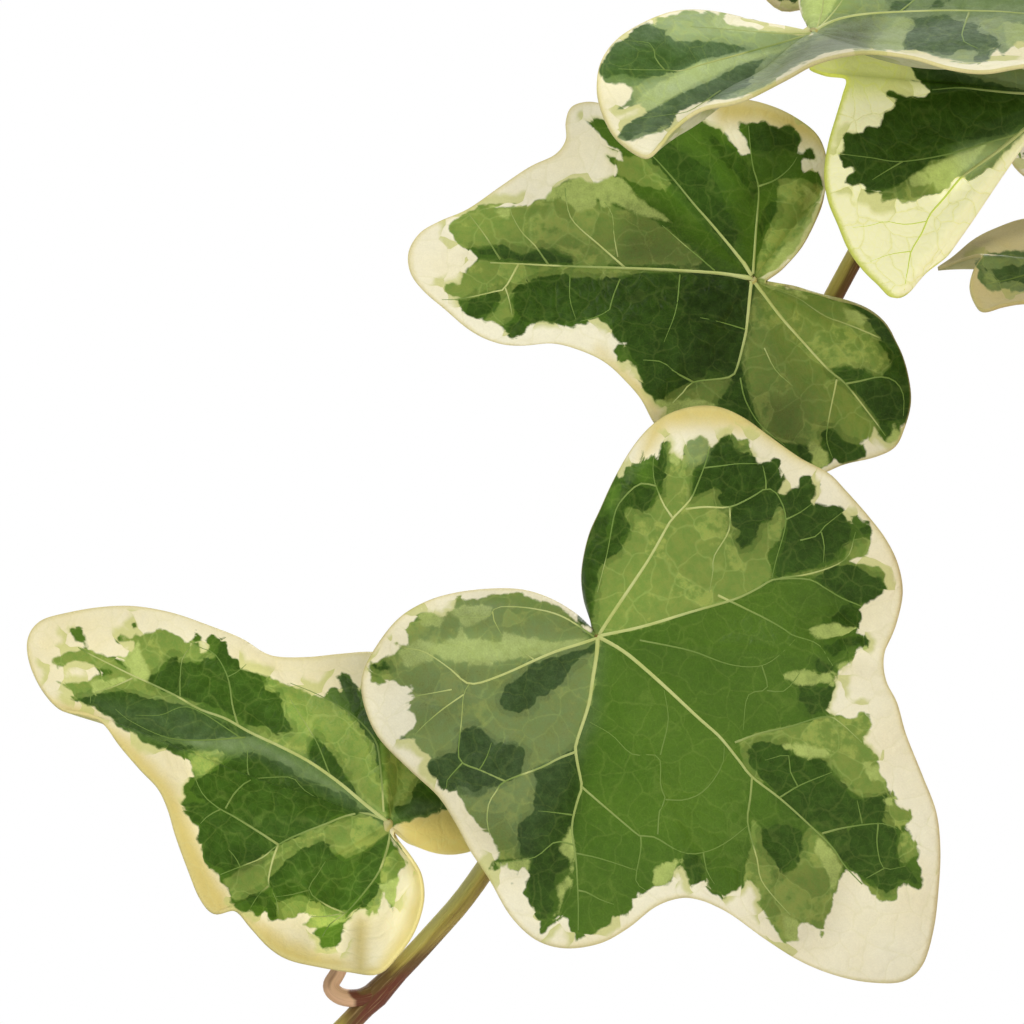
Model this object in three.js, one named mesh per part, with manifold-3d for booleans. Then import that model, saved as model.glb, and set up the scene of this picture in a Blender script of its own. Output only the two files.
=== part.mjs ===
// A potted english ivy with cream-edged leaves, in millimetres, +Z up.
// The origin is the centre of the pot's flat base. One long shoot trails over the rim on the -X
// side and ends on the surface that the pot stands on; the other shoots fan out around the pot.

import * as THREE from 'three';
import Module from 'manifold-3d';
import { mergeVertices } from 'three/addons/utils/BufferGeometryUtils.js';

const wasm = await Module();
wasm.setup();

// Pot
const potHeight = 100;
const potRimRadius = 58;
const potBaseRadius = 40;
const potWall = 4.5;
const potFloor = 6;
const rimBandHeight = 21;
const rimBandStep = 3;
const drainHoleRadius = 4;
const drainHoleCircle = 22;
const drainHoleCount = 3;
const potSides = 32;

// Soil
const soilTop = 88;
const soilCrown = 2.5;
const restGap = 0.3;
const stemHoleDepth = 18;

// Blades and stems
const bladeThickness = 0.8;
const stemSides = 5;
const stemStep = 10;
const petioleSides = 3;
const petioleSteps = 2;
const petioleSink = 0.3;

// The view that the long shoot's leaves are laid out in: a picture of 1024 x 1024 points whose
// plane holds the pot's axis, seen along +Y from a camera at viewDistance.
const leafSpan = 55.2;
const leafSpanPoints = 575;
const pointSize = leafSpan / leafSpanPoints;
const viewCentre = { px: 512, py: 512, x: -125, z: 62 };
const viewDistance = 900;

// The other shoots: direction around the pot in degrees, where the stem leaves the soil, how far
// out and how low it hangs, its radius at the root and the mean size of its leaves.
const shootPlans = [
  { turn: 134, root: 26, reach: 84, low: 34, radius: 1.5, leaf: 38, seed: 11 },
  { turn: 96, root: 20, reach: 82, low: 52, radius: 1.4, leaf: 35, seed: 23 },
  { turn: 58, root: 29, reach: 85, low: 24, radius: 1.5, leaf: 39, seed: 37 },
  { turn: 20, root: 18, reach: 82, low: 58, radius: 1.4, leaf: 36, seed: 41 },
  { turn: -16, root: 28, reach: 86, low: 20, radius: 1.5, leaf: 40, seed: 59 },
  { turn: -56, root: 20, reach: 82, low: 50, radius: 1.4, leaf: 36, seed: 67 },
  { turn: -94, root: 28, reach: 85, low: 28, radius: 1.5, leaf: 38, seed: 71 },
  { turn: -130, root: 22, reach: 80, low: 60, radius: 1.4, leaf: 34, seed: 83 },
  { turn: 40, root: 8, reach: 36, low: 148, radius: 1.3, leaf: 33, seed: 97 },
  { turn: -110, root: 7, reach: 30, low: 142, radius: 1.3, leaf: 33, seed: 103 },
  { turn: 165, root: 12, reach: 36, low: 148, radius: 1.3, leaf: 30, seed: 109 },
  { turn: -24, root: 9, reach: 30, low: 140, radius: 1.3, leaf: 36, seed: 127 },
  { turn: 120, root: 10, reach: 22, low: 160, radius: 1.3, leaf: 32, seed: 139 },
];

// Leaf spacing and the search for a free place
const nodeSpacing = 20;
const standingSpacing = 12;
const firstNodeHeight = 104;
const petioleShort = 11;
const petioleLong = 24;
const clearance = 3.7;
const triesPerLeaf = 120;
const floorClearance = 1.5;
const viewKeepOut = -72;

// Colours and roughness
const [clayColor, clayRoughness] = [0xb5714c, 0.85];
const [soilColor, soilRoughness] = [0x3a2a1e, 1];
const [leafGreen, leafRoughness] = [0x5f7d35, 0.45];

const up = new THREE.Vector3(0, 0, 1);

function seededRandom(seed) {
  let state = seed * 7919;
  return () => {
    state = (state * 48271) % 2147483647;
    return state / 2147483647;
  };
}

// A point of the view, lying toward millimetres in front of the picture's plane
function fromView([px, py, toward]) {
  const size = pointSize * (1 - toward / viewDistance);
  return new THREE.Vector3(
    viewCentre.x + (px - viewCentre.px) * size,
    -toward,
    viewCentre.z - (py - viewCentre.py) * size,
  );
}

// Closed solids, joined and cut
function toSolid(geometry) {
  const bare = new THREE.BufferGeometry();
  bare.setAttribute('position', geometry.getAttribute('position').clone());
  bare.setIndex(geometry.index);
  const merged = mergeVertices(bare, 1e-4);
  const triangles = [];
  for (let i = 0; i < merged.index.count; i += 3) {
    const [a, b, c] = [0, 1, 2].map((k) => merged.index.getX(i + k));
    if (a !== b && b !== c && c !== a) triangles.push([a, b, c]);
  }
  const build = (list) => new wasm.Manifold(new wasm.Mesh({
    numProp: 3,
    vertProperties: new Float32Array(merged.attributes.position.array),
    triVerts: new Uint32Array(list.flat()),
  }));
  const solid = build(triangles);
  return solid.volume() > 0 ? solid : build(triangles.map(([a, b, c]) => [a, c, b]));
}

function toMesh(name, solid, color, roughness) {
  const { vertProperties, triVerts } = solid.getMesh();
  const geometry = new THREE.BufferGeometry();
  geometry.setAttribute('position', new THREE.BufferAttribute(vertProperties, 3));
  geometry.setIndex(new THREE.BufferAttribute(triVerts, 1));
  geometry.computeVertexNormals();
  const material = new THREE.MeshStandardMaterial({ color, roughness, metalness: 0 });
  const mesh = new THREE.Mesh(geometry, material);
  mesh.name = name;
  return mesh;
}

function latheSolid(profile) {
  const points = profile.map(([radius, height]) => new THREE.Vector2(radius, height));
  return toSolid(new THREE.LatheGeometry(points, potSides).rotateX(Math.PI / 2));
}

// A standing cylinder from z = bottom to z = top, wide enough to clear a circle of the radius
function standingHole(x, y, bottom, top, radius, sides) {
  const geometry = new THREE.CylinderGeometry(1, 1, top - bottom, sides);
  geometry.rotateX(Math.PI / 2);
  geometry.scale(radius / Math.cos(Math.PI / sides), radius / Math.cos(Math.PI / sides), 1);
  geometry.translate(x, y, (bottom + top) / 2);
  return toSolid(geometry);
}

// A tube along a curve whose section shrinks evenly from its root to its tip
function tubeSolid(curve, steps, sides, rootRadius, tipRadius) {
  const corners = Array.from({ length: sides }, (_, k) => {
    const angle = (2 * Math.PI * k) / sides;
    return new THREE.Vector2(rootRadius * Math.cos(angle), rootRadius * Math.sin(angle));
  });
  const section = new THREE.Shape(corners);
  const geometry = new THREE.ExtrudeGeometry(section, { steps, bevelEnabled: false, extrudePath: curve });
  const centres = curve.getSpacedPoints(steps);
  const position = geometry.getAttribute('position');
  const vertex = new THREE.Vector3();
  for (let i = 0; i < position.count; i += 1) {
    vertex.fromBufferAttribute(position, i);
    const gaps = centres.map((centre) => centre.distanceTo(vertex));
    const nearest = gaps.indexOf(Math.min(...gaps));
    const share = 1 + (tipRadius / rootRadius - 1) * (nearest / steps);
    vertex.sub(centres[nearest]).multiplyScalar(share).add(centres[nearest]);
    position.setXYZ(i, vertex.x, vertex.y, vertex.z);
  }
  return toSolid(geometry);
}

// A blade: a fan from its root to every second point halfway out, then a band to the margin, with
// the points counterclockwise seen from its upper side and both faces split alike
function bladeSolid(root, halfway, margin, normal) {
  const inner = halfway.filter((point, k) => k % 2 === 0);
  const surface = [root, ...inner, ...margin];
  const perFace = surface.length;
  const points = [1, -1].flatMap((side) => surface.map(
    (point) => point.clone().addScaledVector(normal, (side * bladeThickness) / 2),
  ));
  const index = [];
  const addBothFaces = (a, b, c) => index.push(a, b, c, perFace + a, perFace + c, perFace + b);
  for (let k = 0; k < margin.length; k += 1) {
    const next = (k + 1) % margin.length;
    const [inHere, inNext] = [1 + Math.floor(k / 2), 1 + Math.floor(next / 2)];
    const [outHere, outNext] = [1 + inner.length + k, 1 + inner.length + next];
    addBothFaces(inHere, outHere, outNext);
    if (inNext !== inHere) {
      addBothFaces(inHere, outNext, inNext);
      addBothFaces(0, inHere, inNext);
    }
    index.push(outHere, perFace + outHere, outNext, outNext, perFace + outHere, perFace + outNext);
  }
  const geometry = new THREE.BufferGeometry().setFromPoints(points);
  geometry.setIndex(index);
  return toSolid(geometry);
}

// A leaf's petiole ends just under the middle of the blade's thickness, within it
function petioleSolid({ node, lean, root: end, normal }, radius) {
  const tip = end.clone().addScaledVector(normal, -petioleSink);
  const curve = new THREE.QuadraticBezierCurve3(node, lean, tip);
  return tubeSolid(curve, petioleSteps, petioleSides, radius * 1.2, radius);
}

// The rule-made leaf: three blunt lobes and two basal ones, mirrored about the midrib
const lobeReach = [[0, 1], [20, 0.86], [36, 0.66], [62, 0.73], [90, 0.56], [122, 0.55], [152, 0.3], [180, 0.07]];

function marginReach(degrees) {
  const turn = Math.abs(degrees);
  const next = Math.max(1, lobeReach.findIndex(([angle]) => angle >= turn));
  const [[lowAngle, lowReach], [highAngle, highReach]] = [lobeReach[next - 1], lobeReach[next]];
  return lowReach + ((highReach - lowReach) * (turn - lowAngle)) / (highAngle - lowAngle);
}

function leafPoint(leaf, degrees, share) {
  const angle = (degrees * Math.PI) / 180;
  const reach = share * marginReach(degrees);
  const x = reach * Math.cos(angle);
  const y = reach * Math.sin(angle);
  const lift = leaf.fold * Math.abs(y) - leaf.bend * (0.3 * x * x + 0.25 * y * y)
    + leaf.wave * share * share * Math.sin(3 * angle + leaf.phase);
  return leaf.root.clone()
    .addScaledVector(leaf.along, leaf.size * x)
    .addScaledVector(leaf.across, leaf.size * y)
    .addScaledVector(leaf.normal, leaf.size * lift);
}

function leafBlade(leaf) {
  const half = lobeReach.map(([angle]) => angle);
  const angles = [...half, ...half.slice(1, -1).reverse().map((angle) => -angle)];
  const [halfway, margin] = [0.5, 1].map((share) => angles.map((angle) => leafPoint(leaf, angle, share)));
  return bladeSolid(leaf.root, halfway, margin, leaf.normal);
}

// Points spread over a blade, to keep it clear of what is already in place
function leafSamples(leaf) {
  return [0.2, 0.4, 0.6, 0.8, 1].flatMap((share) => {
    const count = Math.round(32 * share);
    return Array.from({ length: count }, (_, k) => leafPoint(leaf, (360 * k) / count - 180, share));
  });
}

function clearOf(samples, taken) {
  const box = new THREE.Box3().setFromPoints(samples).expandByScalar(clearance);
  const near = taken.filter((point) => box.containsPoint(point));
  return samples.every((sample) => near.every((point) => sample.distanceTo(point) >= clearance));
}

function outsidePot(point) {
  const rim = potRimRadius + 2.5;
  return point.z > potHeight + 2.5 || Math.hypot(point.x, point.y) > rim;
}

function smoothCurve(points) {
  return new THREE.CatmullRomCurve3(points, false, 'catmullrom');
}

// The stem as a polyline with the length up to each of its points
function stemLine(curve) {
  const points = curve.getPoints(12 * (curve.points.length - 1));
  const lengths = [0];
  for (let i = 1; i < points.length; i += 1) {
    lengths.push(lengths[i - 1] + points[i].distanceTo(points[i - 1]));
  }
  const line = { points, lengths, total: lengths[lengths.length - 1] };
  line.samples = stemSamples(line);
  return line;
}

function alongStem(line, length) {
  const next = Math.max(1, line.lengths.findIndex((value) => value >= length));
  const [a, b] = [line.points[next - 1], line.points[next]];
  const share = (length - line.lengths[next - 1]) / (line.lengths[next] - line.lengths[next - 1]);
  return { point: a.clone().lerp(b, share), tangent: b.clone().sub(a).normalize() };
}

function stemSamples(line) {
  const count = Math.floor(line.total / 2.5);
  return Array.from({ length: count }, (_, k) => alongStem(line, (k + 0.5) * 2.5).point);
}

// One try at a leaf: the petiole leaves the node to its side, and the blade lies to the light
function tryLeaf(node, side, size, petioleLength, random) {
  const jitter = () => 2 * random() - 1;
  const out = new THREE.Vector3(node.point.x, node.point.y, 0).normalize();
  const flatness = 1 - Math.abs(node.tangent.z);
  const face = out.clone().addScaledVector(up, 0.5 + 1.5 * flatness).normalize();
  const across = new THREE.Vector3().crossVectors(node.tangent, face).normalize();
  const toBlade = across.clone().multiplyScalar(side * (0.85 + 0.35 * jitter()))
    .addScaledVector(face, 0.6 + 0.3 * jitter())
    .addScaledVector(node.tangent, 0.3 + 0.3 * jitter())
    .normalize();
  const root = node.point.clone().addScaledVector(toBlade, petioleLength);
  const normal = face.clone()
    .addScaledVector(across, 0.35 * jitter())
    .addScaledVector(node.tangent, 0.35 * jitter() - 0.1)
    .addScaledVector(up, 0.2 * jitter())
    .normalize();
  const along = across.clone().multiplyScalar(side * (0.6 + 0.4 * jitter()))
    .addScaledVector(node.tangent, 0.8 + 0.3 * jitter())
    .addScaledVector(up, -0.35)
    .addScaledVector(out, 0.3 * flatness);
  along.addScaledVector(normal, -along.dot(normal)).normalize();
  return {
    root,
    normal,
    along,
    across: new THREE.Vector3().crossVectors(normal, along),
    size,
    node: node.point,
    lean: node.point.clone().lerp(root, 0.5).addScaledVector(face, -0.12 * petioleLength),
    fold: 0.12 * random(),
    bend: 0.3 + 0.5 * random(),
    wave: 0.03 + 0.03 * random(),
    phase: 2 * Math.PI * random(),
  };
}

// Leaves on alternate sides of a stem, smaller toward its tip, each in the first free place drawn
function growLeaves(line, plan, random, taken, allowed) {
  const leaves = [];
  const gaps = Math.round((plan.to - plan.from) / plan.spacing);
  for (let k = 0; k <= gaps; k += 1) {
    const node = alongStem(line, plan.from + ((plan.to - plan.from) * k) / gaps);
    const youth = k / gaps;
    const side = k % 2 ? 1 : -1;
    for (let attempt = 0; attempt < triesPerLeaf; attempt += 1) {
      const shrink = 1 - (0.35 * attempt) / triesPerLeaf;
      const size = plan.size * (1 - (1 - plan.tipShare) * youth) * (0.9 + 0.2 * random()) * shrink;
      const petioleLength = plan.petiole[0] + (plan.petiole[1] - plan.petiole[0]) * random();
      const leaf = tryLeaf(node, side, size, petioleLength, random);
      const blade = leafSamples(leaf);
      const petiole = [0.2, 0.4, 0.6, 0.8].map((share) => leaf.node.clone().lerp(leaf.root, share));
      const others = taken.filter((point) => !line.samples.includes(point));
      if (blade.every(allowed) && clearOf(blade, taken) && clearOf(petiole, others)) {
        leaves.push(leaf);
        taken.push(...blade, ...petiole);
        break;
      }
    }
  }
  return leaves;
}

// The long shoot's leaves as the view shows them: the petiole from the stem to the blade's root,
// then the margin clockwise. A margin point is px, py and, at some, how far it lies toward the
// viewer and how much the blade swells halfway to it; between those points both change evenly.
const viewLeaves = {
  leafA: {
    petiole: [[676, 566, 0], [652, 594, 5], [620, 622, 11], [598, 637, 18]],
    margin: [
      [592, 621, 18, 0.2], [585, 598], [583, 570], [590, 535, 18.5, 0.6], [602, 508], [615, 480],
      [632, 450], [650, 428], [670, 414], [695, 407, 18, 1], [720, 408], [745, 419], [770, 437],
      [800, 458, 20.5, 0.2], [828, 473], [845, 490], [868, 516], [886, 540], [898, 566],
      [902, 595, 17.5, 1.1], [895, 628], [884, 655, 20.5, 0], [886, 680], [897, 703], [906, 735],
      [922, 775], [936, 812, 17, 0.5], [940, 850], [938, 890], [933, 930], [922, 965],
      [902, 981, 14, 1.2], [870, 982], [835, 975], [800, 961], [765, 939], [730, 914],
      [700, 900, 19.5, 0], [680, 898], [655, 907], [628, 928], [600, 943, 17.5, 0.8], [565, 948],
      [535, 939], [510, 915], [490, 880], [470, 850], [455, 822, 18.5, 0], [438, 796], [408, 768],
      [378, 736], [364, 702, 14, 1], [363, 675], [376, 648], [398, 620], [425, 603], [455, 594],
      [490, 590, 16.5, 0.8], [522, 591], [550, 600], [575, 615], [591, 629, 18, 0.1],
    ],
  },
  leafB: {
    petiole: [[790, 375, 0], [782, 340, 2], [766, 304, 6], [752, 280, 12]],
    margin: [
      [768, 279, 12, 0.1], [785, 266], [803, 245, 10.5, 0.5], [818, 215], [826, 188, 8, 0.9],
      [827, 162], [819, 137], [800, 120, 8.5, 1], [772, 106], [740, 99], [708, 104],
      [675, 113, 11, 0.3], [640, 112], [612, 106], [590, 102, 10.5, 0.6], [572, 107], [566, 122],
      [566, 140], [555, 155], [530, 167], [500, 187, 13, 0.3], [468, 209], [440, 221], [420, 233],
      [409, 252, 12.5, 0.9], [411, 273], [424, 291], [445, 309], [470, 330], [495, 342, 14, 0.4],
      [520, 345], [552, 343], [580, 350], [605, 362], [625, 380], [642, 400, 14, 0.1], [658, 428],
      [690, 460], [735, 478, 12.5, 0.4], [780, 485], [820, 474], [845, 464], [875, 457],
      [895, 447, 9.5, 0.9], [905, 427], [911, 402], [908, 375], [899, 347, 8, 1.1], [885, 322],
      [862, 306, 10, 0.6], [830, 297], [798, 288], [770, 283, 12, 0.1],
    ],
  },
  leafC: {
    petiole: [
      [378, 992, 0], [356, 999, 0.6], [334, 997, 0.8], [325, 986, 0.8], [334, 971, 0.6],
      [352, 938, 1], [374, 880, 4], [388, 823, 10],
    ],
    margin: [
      [396, 831, 10, 0.1], [412, 843], [435, 852, 8, 0.3], [460, 853], [478, 845], [495, 815, 5, 0.6],
      [500, 775], [485, 735], [460, 705], [425, 675, 2, 0.8], [395, 657], [372, 652, 3.5, -0.6],
      [340, 654], [310, 657], [280, 657], [262, 652, 3.5, -0.2], [240, 638], [205, 624], [170, 612],
      [135, 606, 4.5, 0.8], [100, 607], [65, 613], [40, 621], [28, 638, 8, 1.2], [30, 662],
      [42, 688], [60, 707], [85, 713, 11.5, 1], [103, 722], [120, 745], [140, 768], [158, 787],
      [168, 808, 14, 0.4], [176, 835], [188, 868], [200, 897], [214, 912, 16, 1.2], [235, 909],
      [252, 927], [270, 946], [290, 958, 16.5, 3], [320, 965], [350, 970], [378, 972, 16, 3.4],
      [397, 955], [414, 930], [423, 900, 14, 2.4], [421, 875], [411, 857], [398, 840, 10.5, 0.3],
    ],
  },
  leafD: {
    petiole: [[905, 165, 0], [893, 112, 2], [868, 62, 7], [836, 41, 15], [813, 33, 24]],
    margin: [
      [795, 31, 24, 0], [775, 26], [740, 15, 26, 0.5], [700, 9], [670, 11, 29, 0.3], [640, 23],
      [615, 40], [600, 63, 36, -0.4], [597, 90], [606, 120], [620, 140], [645, 155, 45, 0.6],
      [660, 143], [672, 128], [700, 108, 43, 0.6], [740, 99], [785, 77], [815, 61, 39, 0.2],
      [850, 52], [880, 51], [915, 56], [950, 66, 40, 1.4], [985, 70], [1024, 64], [1080, 58, 37, 1.8],
      [1140, 55], [1190, 40, 32, 2.2], [1190, 15], [1150, -5], [1100, -22, 18, 1.6], [1040, -38],
      [980, -48, 12, 1], [920, -60], [870, -66, 9, 0.6], [830, -55], [806, -30, 13, 0.2], [800, -4],
      [803, 12], [809, 24, 22, 0],
    ],
  },
  leafE: {
    petiole: [[960, 80, 0], [985, 66, 3], [1030, 74, 9], [1062, 92, 16]],
    margin: [
      [1052, 78, 16, 0], [1000, 60, 16.5, 0.4], [950, 47], [900, 46], [862, 50, 17, 0.8], [829, 57],
      [810, 67], [824, 74], [846, 78], [843, 95, 18.5, 1], [837, 115], [829, 143], [825, 173],
      [829, 200, 21, 1.2], [839, 225], [849, 249], [863, 269], [878, 284], [892, 297, 22, 1],
      [906, 294], [922, 276], [943, 259], [955, 243], [967, 216, 18, 0.6], [980, 194], [996, 171],
      [1012, 157], [1030, 138, 13, 0.2], [1056, 124], [1090, 132, 10, 0], [1118, 118], [1124, 84],
      [1100, 52, 12, 0.3], [1070, 64, 15, 0],
    ],
  },
  leafF: {
    petiole: [[1100, -40, 0], [1126, 90, -3], [1116, 200, -7], [1078, 262, -8]],
    margin: [
      [1066, 250, -8, 0], [1050, 222, -12, 0.2], [1024, 218], [994, 228], [973, 239], [955, 254],
      [938, 267, -10, 0.2], [962, 258], [981, 254, -6, 0.2], [974, 267], [970, 284], [974, 299],
      [983, 309, -2, 0.6], [1003, 304], [1024, 301], [1054, 303], [1082, 300, -3, 0.4], [1096, 280],
      [1086, 266, -8, 0],
    ],
  },
};

// Two small leaves of the long shoot that hardly show: root, tip, the side faced and the size
const smallLeaves = [
  { petiole: [[1060, -18, 0], [1084, 70, -6], [1088, 150, -12]], tip: [1010, 158, -12], lean: 0.3 },
  { petiole: [[1000, 26, 0], [930, -62, -5], [812, -112, -8]], tip: [782, 9, -5], lean: 0.2 },
];

// The long shoot's stem: out of the soil and over the rim, through the view, and along the surface
const longShoot = { root: [-24, 0], radius: 1.35, tipRadius: 0.6, petioleRadius: 0.62, petioleSides: 5 };
const holeSides = 8;
const overRim = [[-27, 0, 107], [-44, -1, 118]];
const throughView = [
  [1090, -52, 0], [1024, 0, 0], [960, 80, 0], [905, 165, 0], [852, 262, 0], [790, 375, 0],
  [676, 566, 0], [590, 705, 0], [483, 872, 0], [432, 935, 0], [378, 992, 0], [348, 1024, 0],
];
const alongSurface = [[-148, -1, 6], [-158, -3, 2], [-172, -8, 1.1], [-188, -6, 1.1]];
const holeBottom = soilTop - stemHoleDepth + restGap;
const stemFoot = soilTop + soilCrown + 1;

function fillBetween(margin, slot) {
  const count = margin.length;
  const known = [...margin.keys()].filter((k) => margin[k].length > slot);
  return margin.map((entry, k) => {
    if (entry.length > slot) return entry[slot];
    const before = known.filter((j) => j < k).pop() ?? known[known.length - 1] - count;
    const after = known.find((j) => j > k) ?? known[0] + count;
    const [low, high] = [margin[(before + count) % count][slot], margin[after % count][slot]];
    return low + ((high - low) * (k - before)) / (after - before);
  });
}

// A leaf of the view as rings round its root, counterclockwise seen from its upper side
function viewRings(leaf, shares) {
  const toward = fillBetween(leaf.margin, 2);
  const swell = fillBetween(leaf.margin, 3);
  const rim = leaf.margin.map(([px, py], k) => fromView([px, py, toward[k]])).reverse();
  const root = fromView(leaf.petiole[leaf.petiole.length - 1]);
  const normal = new THREE.Vector3();
  rim.forEach((point, k) => {
    const next = rim[(k + 1) % rim.length];
    normal.add(new THREE.Vector3().crossVectors(point.clone().sub(root), next.clone().sub(root)));
  });
  normal.normalize();
  swell.reverse();
  const rings = shares.map((share) => rim.map((point, k) => root.clone().lerp(point, share)
    .addScaledVector(normal, 4 * share * (1 - share) * swell[k])));
  return { root, rings, normal };
}

function viewPetiole(points, normal) {
  const line = points.map(fromView);
  line[line.length - 1].addScaledVector(normal, -petioleSink);
  const curve = smoothCurve(line);
  const steps = 2 * (points.length - 1);
  return tubeSolid(curve, steps, longShoot.petioleSides, longShoot.petioleRadius * 1.2, longShoot.petioleRadius);
}

function smallLeaf({ petiole, tip, lean }) {
  const root = fromView(petiole[petiole.length - 1]);
  const along = fromView(tip).sub(root);
  const size = along.length();
  along.normalize();
  const normal = new THREE.Vector3(0, -1, lean);
  normal.addScaledVector(along, -normal.dot(along)).normalize();
  const across = new THREE.Vector3().crossVectors(normal, along);
  return { root, normal, along, across, size, fold: 0.1, bend: 0.2, wave: 0.03, phase: 1 };
}

function shootCurve(plan, random) {
  const place = (radius, height, drift) => {
    const angle = ((plan.turn + drift) * Math.PI) / 180;
    return new THREE.Vector3(radius * Math.cos(angle), radius * Math.sin(angle), height);
  };
  const drift = () => 12 * (random() - 0.5);
  const points = [holeBottom, stemFoot, stemFoot + 5].map((height) => place(plan.root, height, 0));
  if (plan.low > potHeight) {
    points.push(place(plan.root * 1.3, potHeight + 12, 0));
    points.push(place((plan.root + plan.reach) / 2, (potHeight + plan.low) / 2 + 8, drift()));
  } else {
    points.push(place(plan.root * 1.2 + 2, potHeight + 6, 0));
    points.push(place(0.66 * plan.reach, potHeight + 17, drift()));
    points.push(place(0.87 * plan.reach, potHeight + 11, drift()));
    points.push(place(plan.reach, potHeight - 10, drift()));
    points.push(place(plan.reach + 1, (potHeight - 10 + plan.low) / 2, drift()));
  }
  points.push(place(plan.reach - 1, plan.low, drift()));
  return smoothCurve(points);
}

function stemSolid(curve, line, rootRadius, tipRadius) {
  return tubeSolid(curve, Math.round(line.total / stemStep), stemSides, rootRadius, tipRadius);
}

function joined(solids) {
  return solids.reduce((sum, solid) => sum.add(solid));
}

// Pot
const bandBottom = potHeight - rimBandHeight;
const wallAt = (height) => potBaseRadius + ((potRimRadius - rimBandStep - potBaseRadius) * height) / bandBottom;
const potSolid = latheSolid([
  [0, 0], [potBaseRadius - 1.5, 0], [potBaseRadius, 1.5], [wallAt(bandBottom - 1), bandBottom - 1],
  [potRimRadius - 1.5, bandBottom], [potRimRadius, bandBottom + 1.5], [potRimRadius, potHeight - 1.5],
  [potRimRadius - 1.5, potHeight], [potRimRadius - potWall + 1, potHeight],
  [potRimRadius - potWall, potHeight - 1.5], [wallAt(potFloor) - potWall, potFloor], [0, potFloor],
]);
const drainHoles = Array.from({ length: drainHoleCount }, (_, k) => {
  const angle = (2 * Math.PI * k) / drainHoleCount;
  const [x, y] = [drainHoleCircle * Math.cos(angle), drainHoleCircle * Math.sin(angle)];
  return standingHole(x, y, -1, potFloor + 1, drainHoleRadius, 12);
});

// Stems
const longLine = [
  ...[holeBottom, stemFoot, stemFoot + 5].map((height) => new THREE.Vector3(...longShoot.root, height)),
  ...overRim.map((point) => new THREE.Vector3(...point)), ...throughView.map(fromView),
  ...alongSurface.map((point) => new THREE.Vector3(...point)),
];
const longCurve = smoothCurve(longLine);
const longStem = stemLine(longCurve);
const shoots = shootPlans.map((plan) => {
  const random = seededRandom(plan.seed);
  const curve = shootCurve(plan, random);
  return { plan, random, curve, line: stemLine(curve) };
});

// Everything that a new leaf keeps clear of, as points
const taken = [...longStem.samples];
for (const leaf of Object.values(viewLeaves)) {
  taken.push(...viewRings(leaf, [0.2, 0.4, 0.6, 0.8, 1]).rings.flat());
}
const viewSmall = smallLeaves.map(smallLeaf);
for (const leaf of viewSmall) taken.push(...leafSamples(leaf));
for (const { petiole } of [...Object.values(viewLeaves), ...smallLeaves]) {
  taken.push(...stemLine(smoothCurve(petiole.map(fromView))).samples);
}
for (const shoot of shoots) taken.push(...shoot.line.samples);

function lengthWhere(line, test) {
  return line.lengths[line.points.findIndex(test)];
}

// Young leaves near the long shoot's end stay low, and those near the pot stay by the pot
const longRandom = seededRandom(7);
const nearPot = growLeaves(longStem, {
  from: lengthWhere(longStem, (point) => point.z > firstNodeHeight),
  to: lengthWhere(longStem, (point) => point.x < viewKeepOut + 8),
  spacing: 17,
  size: 34,
  tipShare: 0.9,
  petiole: [14, petioleLong],
}, longRandom, taken, (point) => outsidePot(point) && point.x > viewKeepOut);
const surfaceLeaves = growLeaves(longStem, {
  from: lengthWhere(longStem, (point) => point.z < 9 && point.x < -110),
  to: longStem.total - 0.5,
  spacing: 9,
  size: 18,
  tipShare: 0.6,
  petiole: [6, 10],
}, longRandom, taken, (point) => point.z > floorClearance && point.z < 11.5);

for (const shoot of shoots) {
  const standing = shoot.plan.low > potHeight;
  shoot.leaves = growLeaves(shoot.line, {
    from: lengthWhere(shoot.line, (point) => point.z > firstNodeHeight),
    to: shoot.line.total - 0.5,
    spacing: standing ? standingSpacing : nodeSpacing,
    size: shoot.plan.leaf,
    tipShare: 0.5,
    petiole: [petioleShort, petioleLong],
  }, shoot.random, taken, (point) => outsidePot(point)
    && point.z > floorClearance && point.x > viewKeepOut);
}

const ivy = new THREE.Group();
ivy.add(toMesh('pot', potSolid.subtract(joined(drainHoles)), clayColor, clayRoughness));

const soilWall = (height) => {
  const inner = (potRimRadius - potWall) - (wallAt(potFloor) - potWall);
  return wallAt(potFloor) - potWall + (inner * (height - potFloor)) / (potHeight - 1.5 - potFloor) - restGap;
};
const soilBlock = latheSolid([
  [0, potFloor + restGap], [soilWall(potFloor + restGap) - 0.5, potFloor + restGap],
  [soilWall(soilTop) - 0.3, soilTop], [potRimRadius / 2, soilTop + soilCrown * 0.75],
  [0, soilTop + soilCrown],
]);
const stemFeet = [
  { x: longShoot.root[0], y: longShoot.root[1], radius: longShoot.radius },
  ...shoots.map(({ plan, curve }) => ({ x: curve.points[0].x, y: curve.points[0].y, radius: plan.radius })),
];
const stemHoles = stemFeet.map(({ x, y, radius }) => standingHole(
  x, y, holeBottom - restGap, soilTop + soilCrown + 1, radius + restGap, holeSides,
));
ivy.add(toMesh('soil', soilBlock.subtract(joined(stemHoles)), soilColor, soilRoughness));

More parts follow.
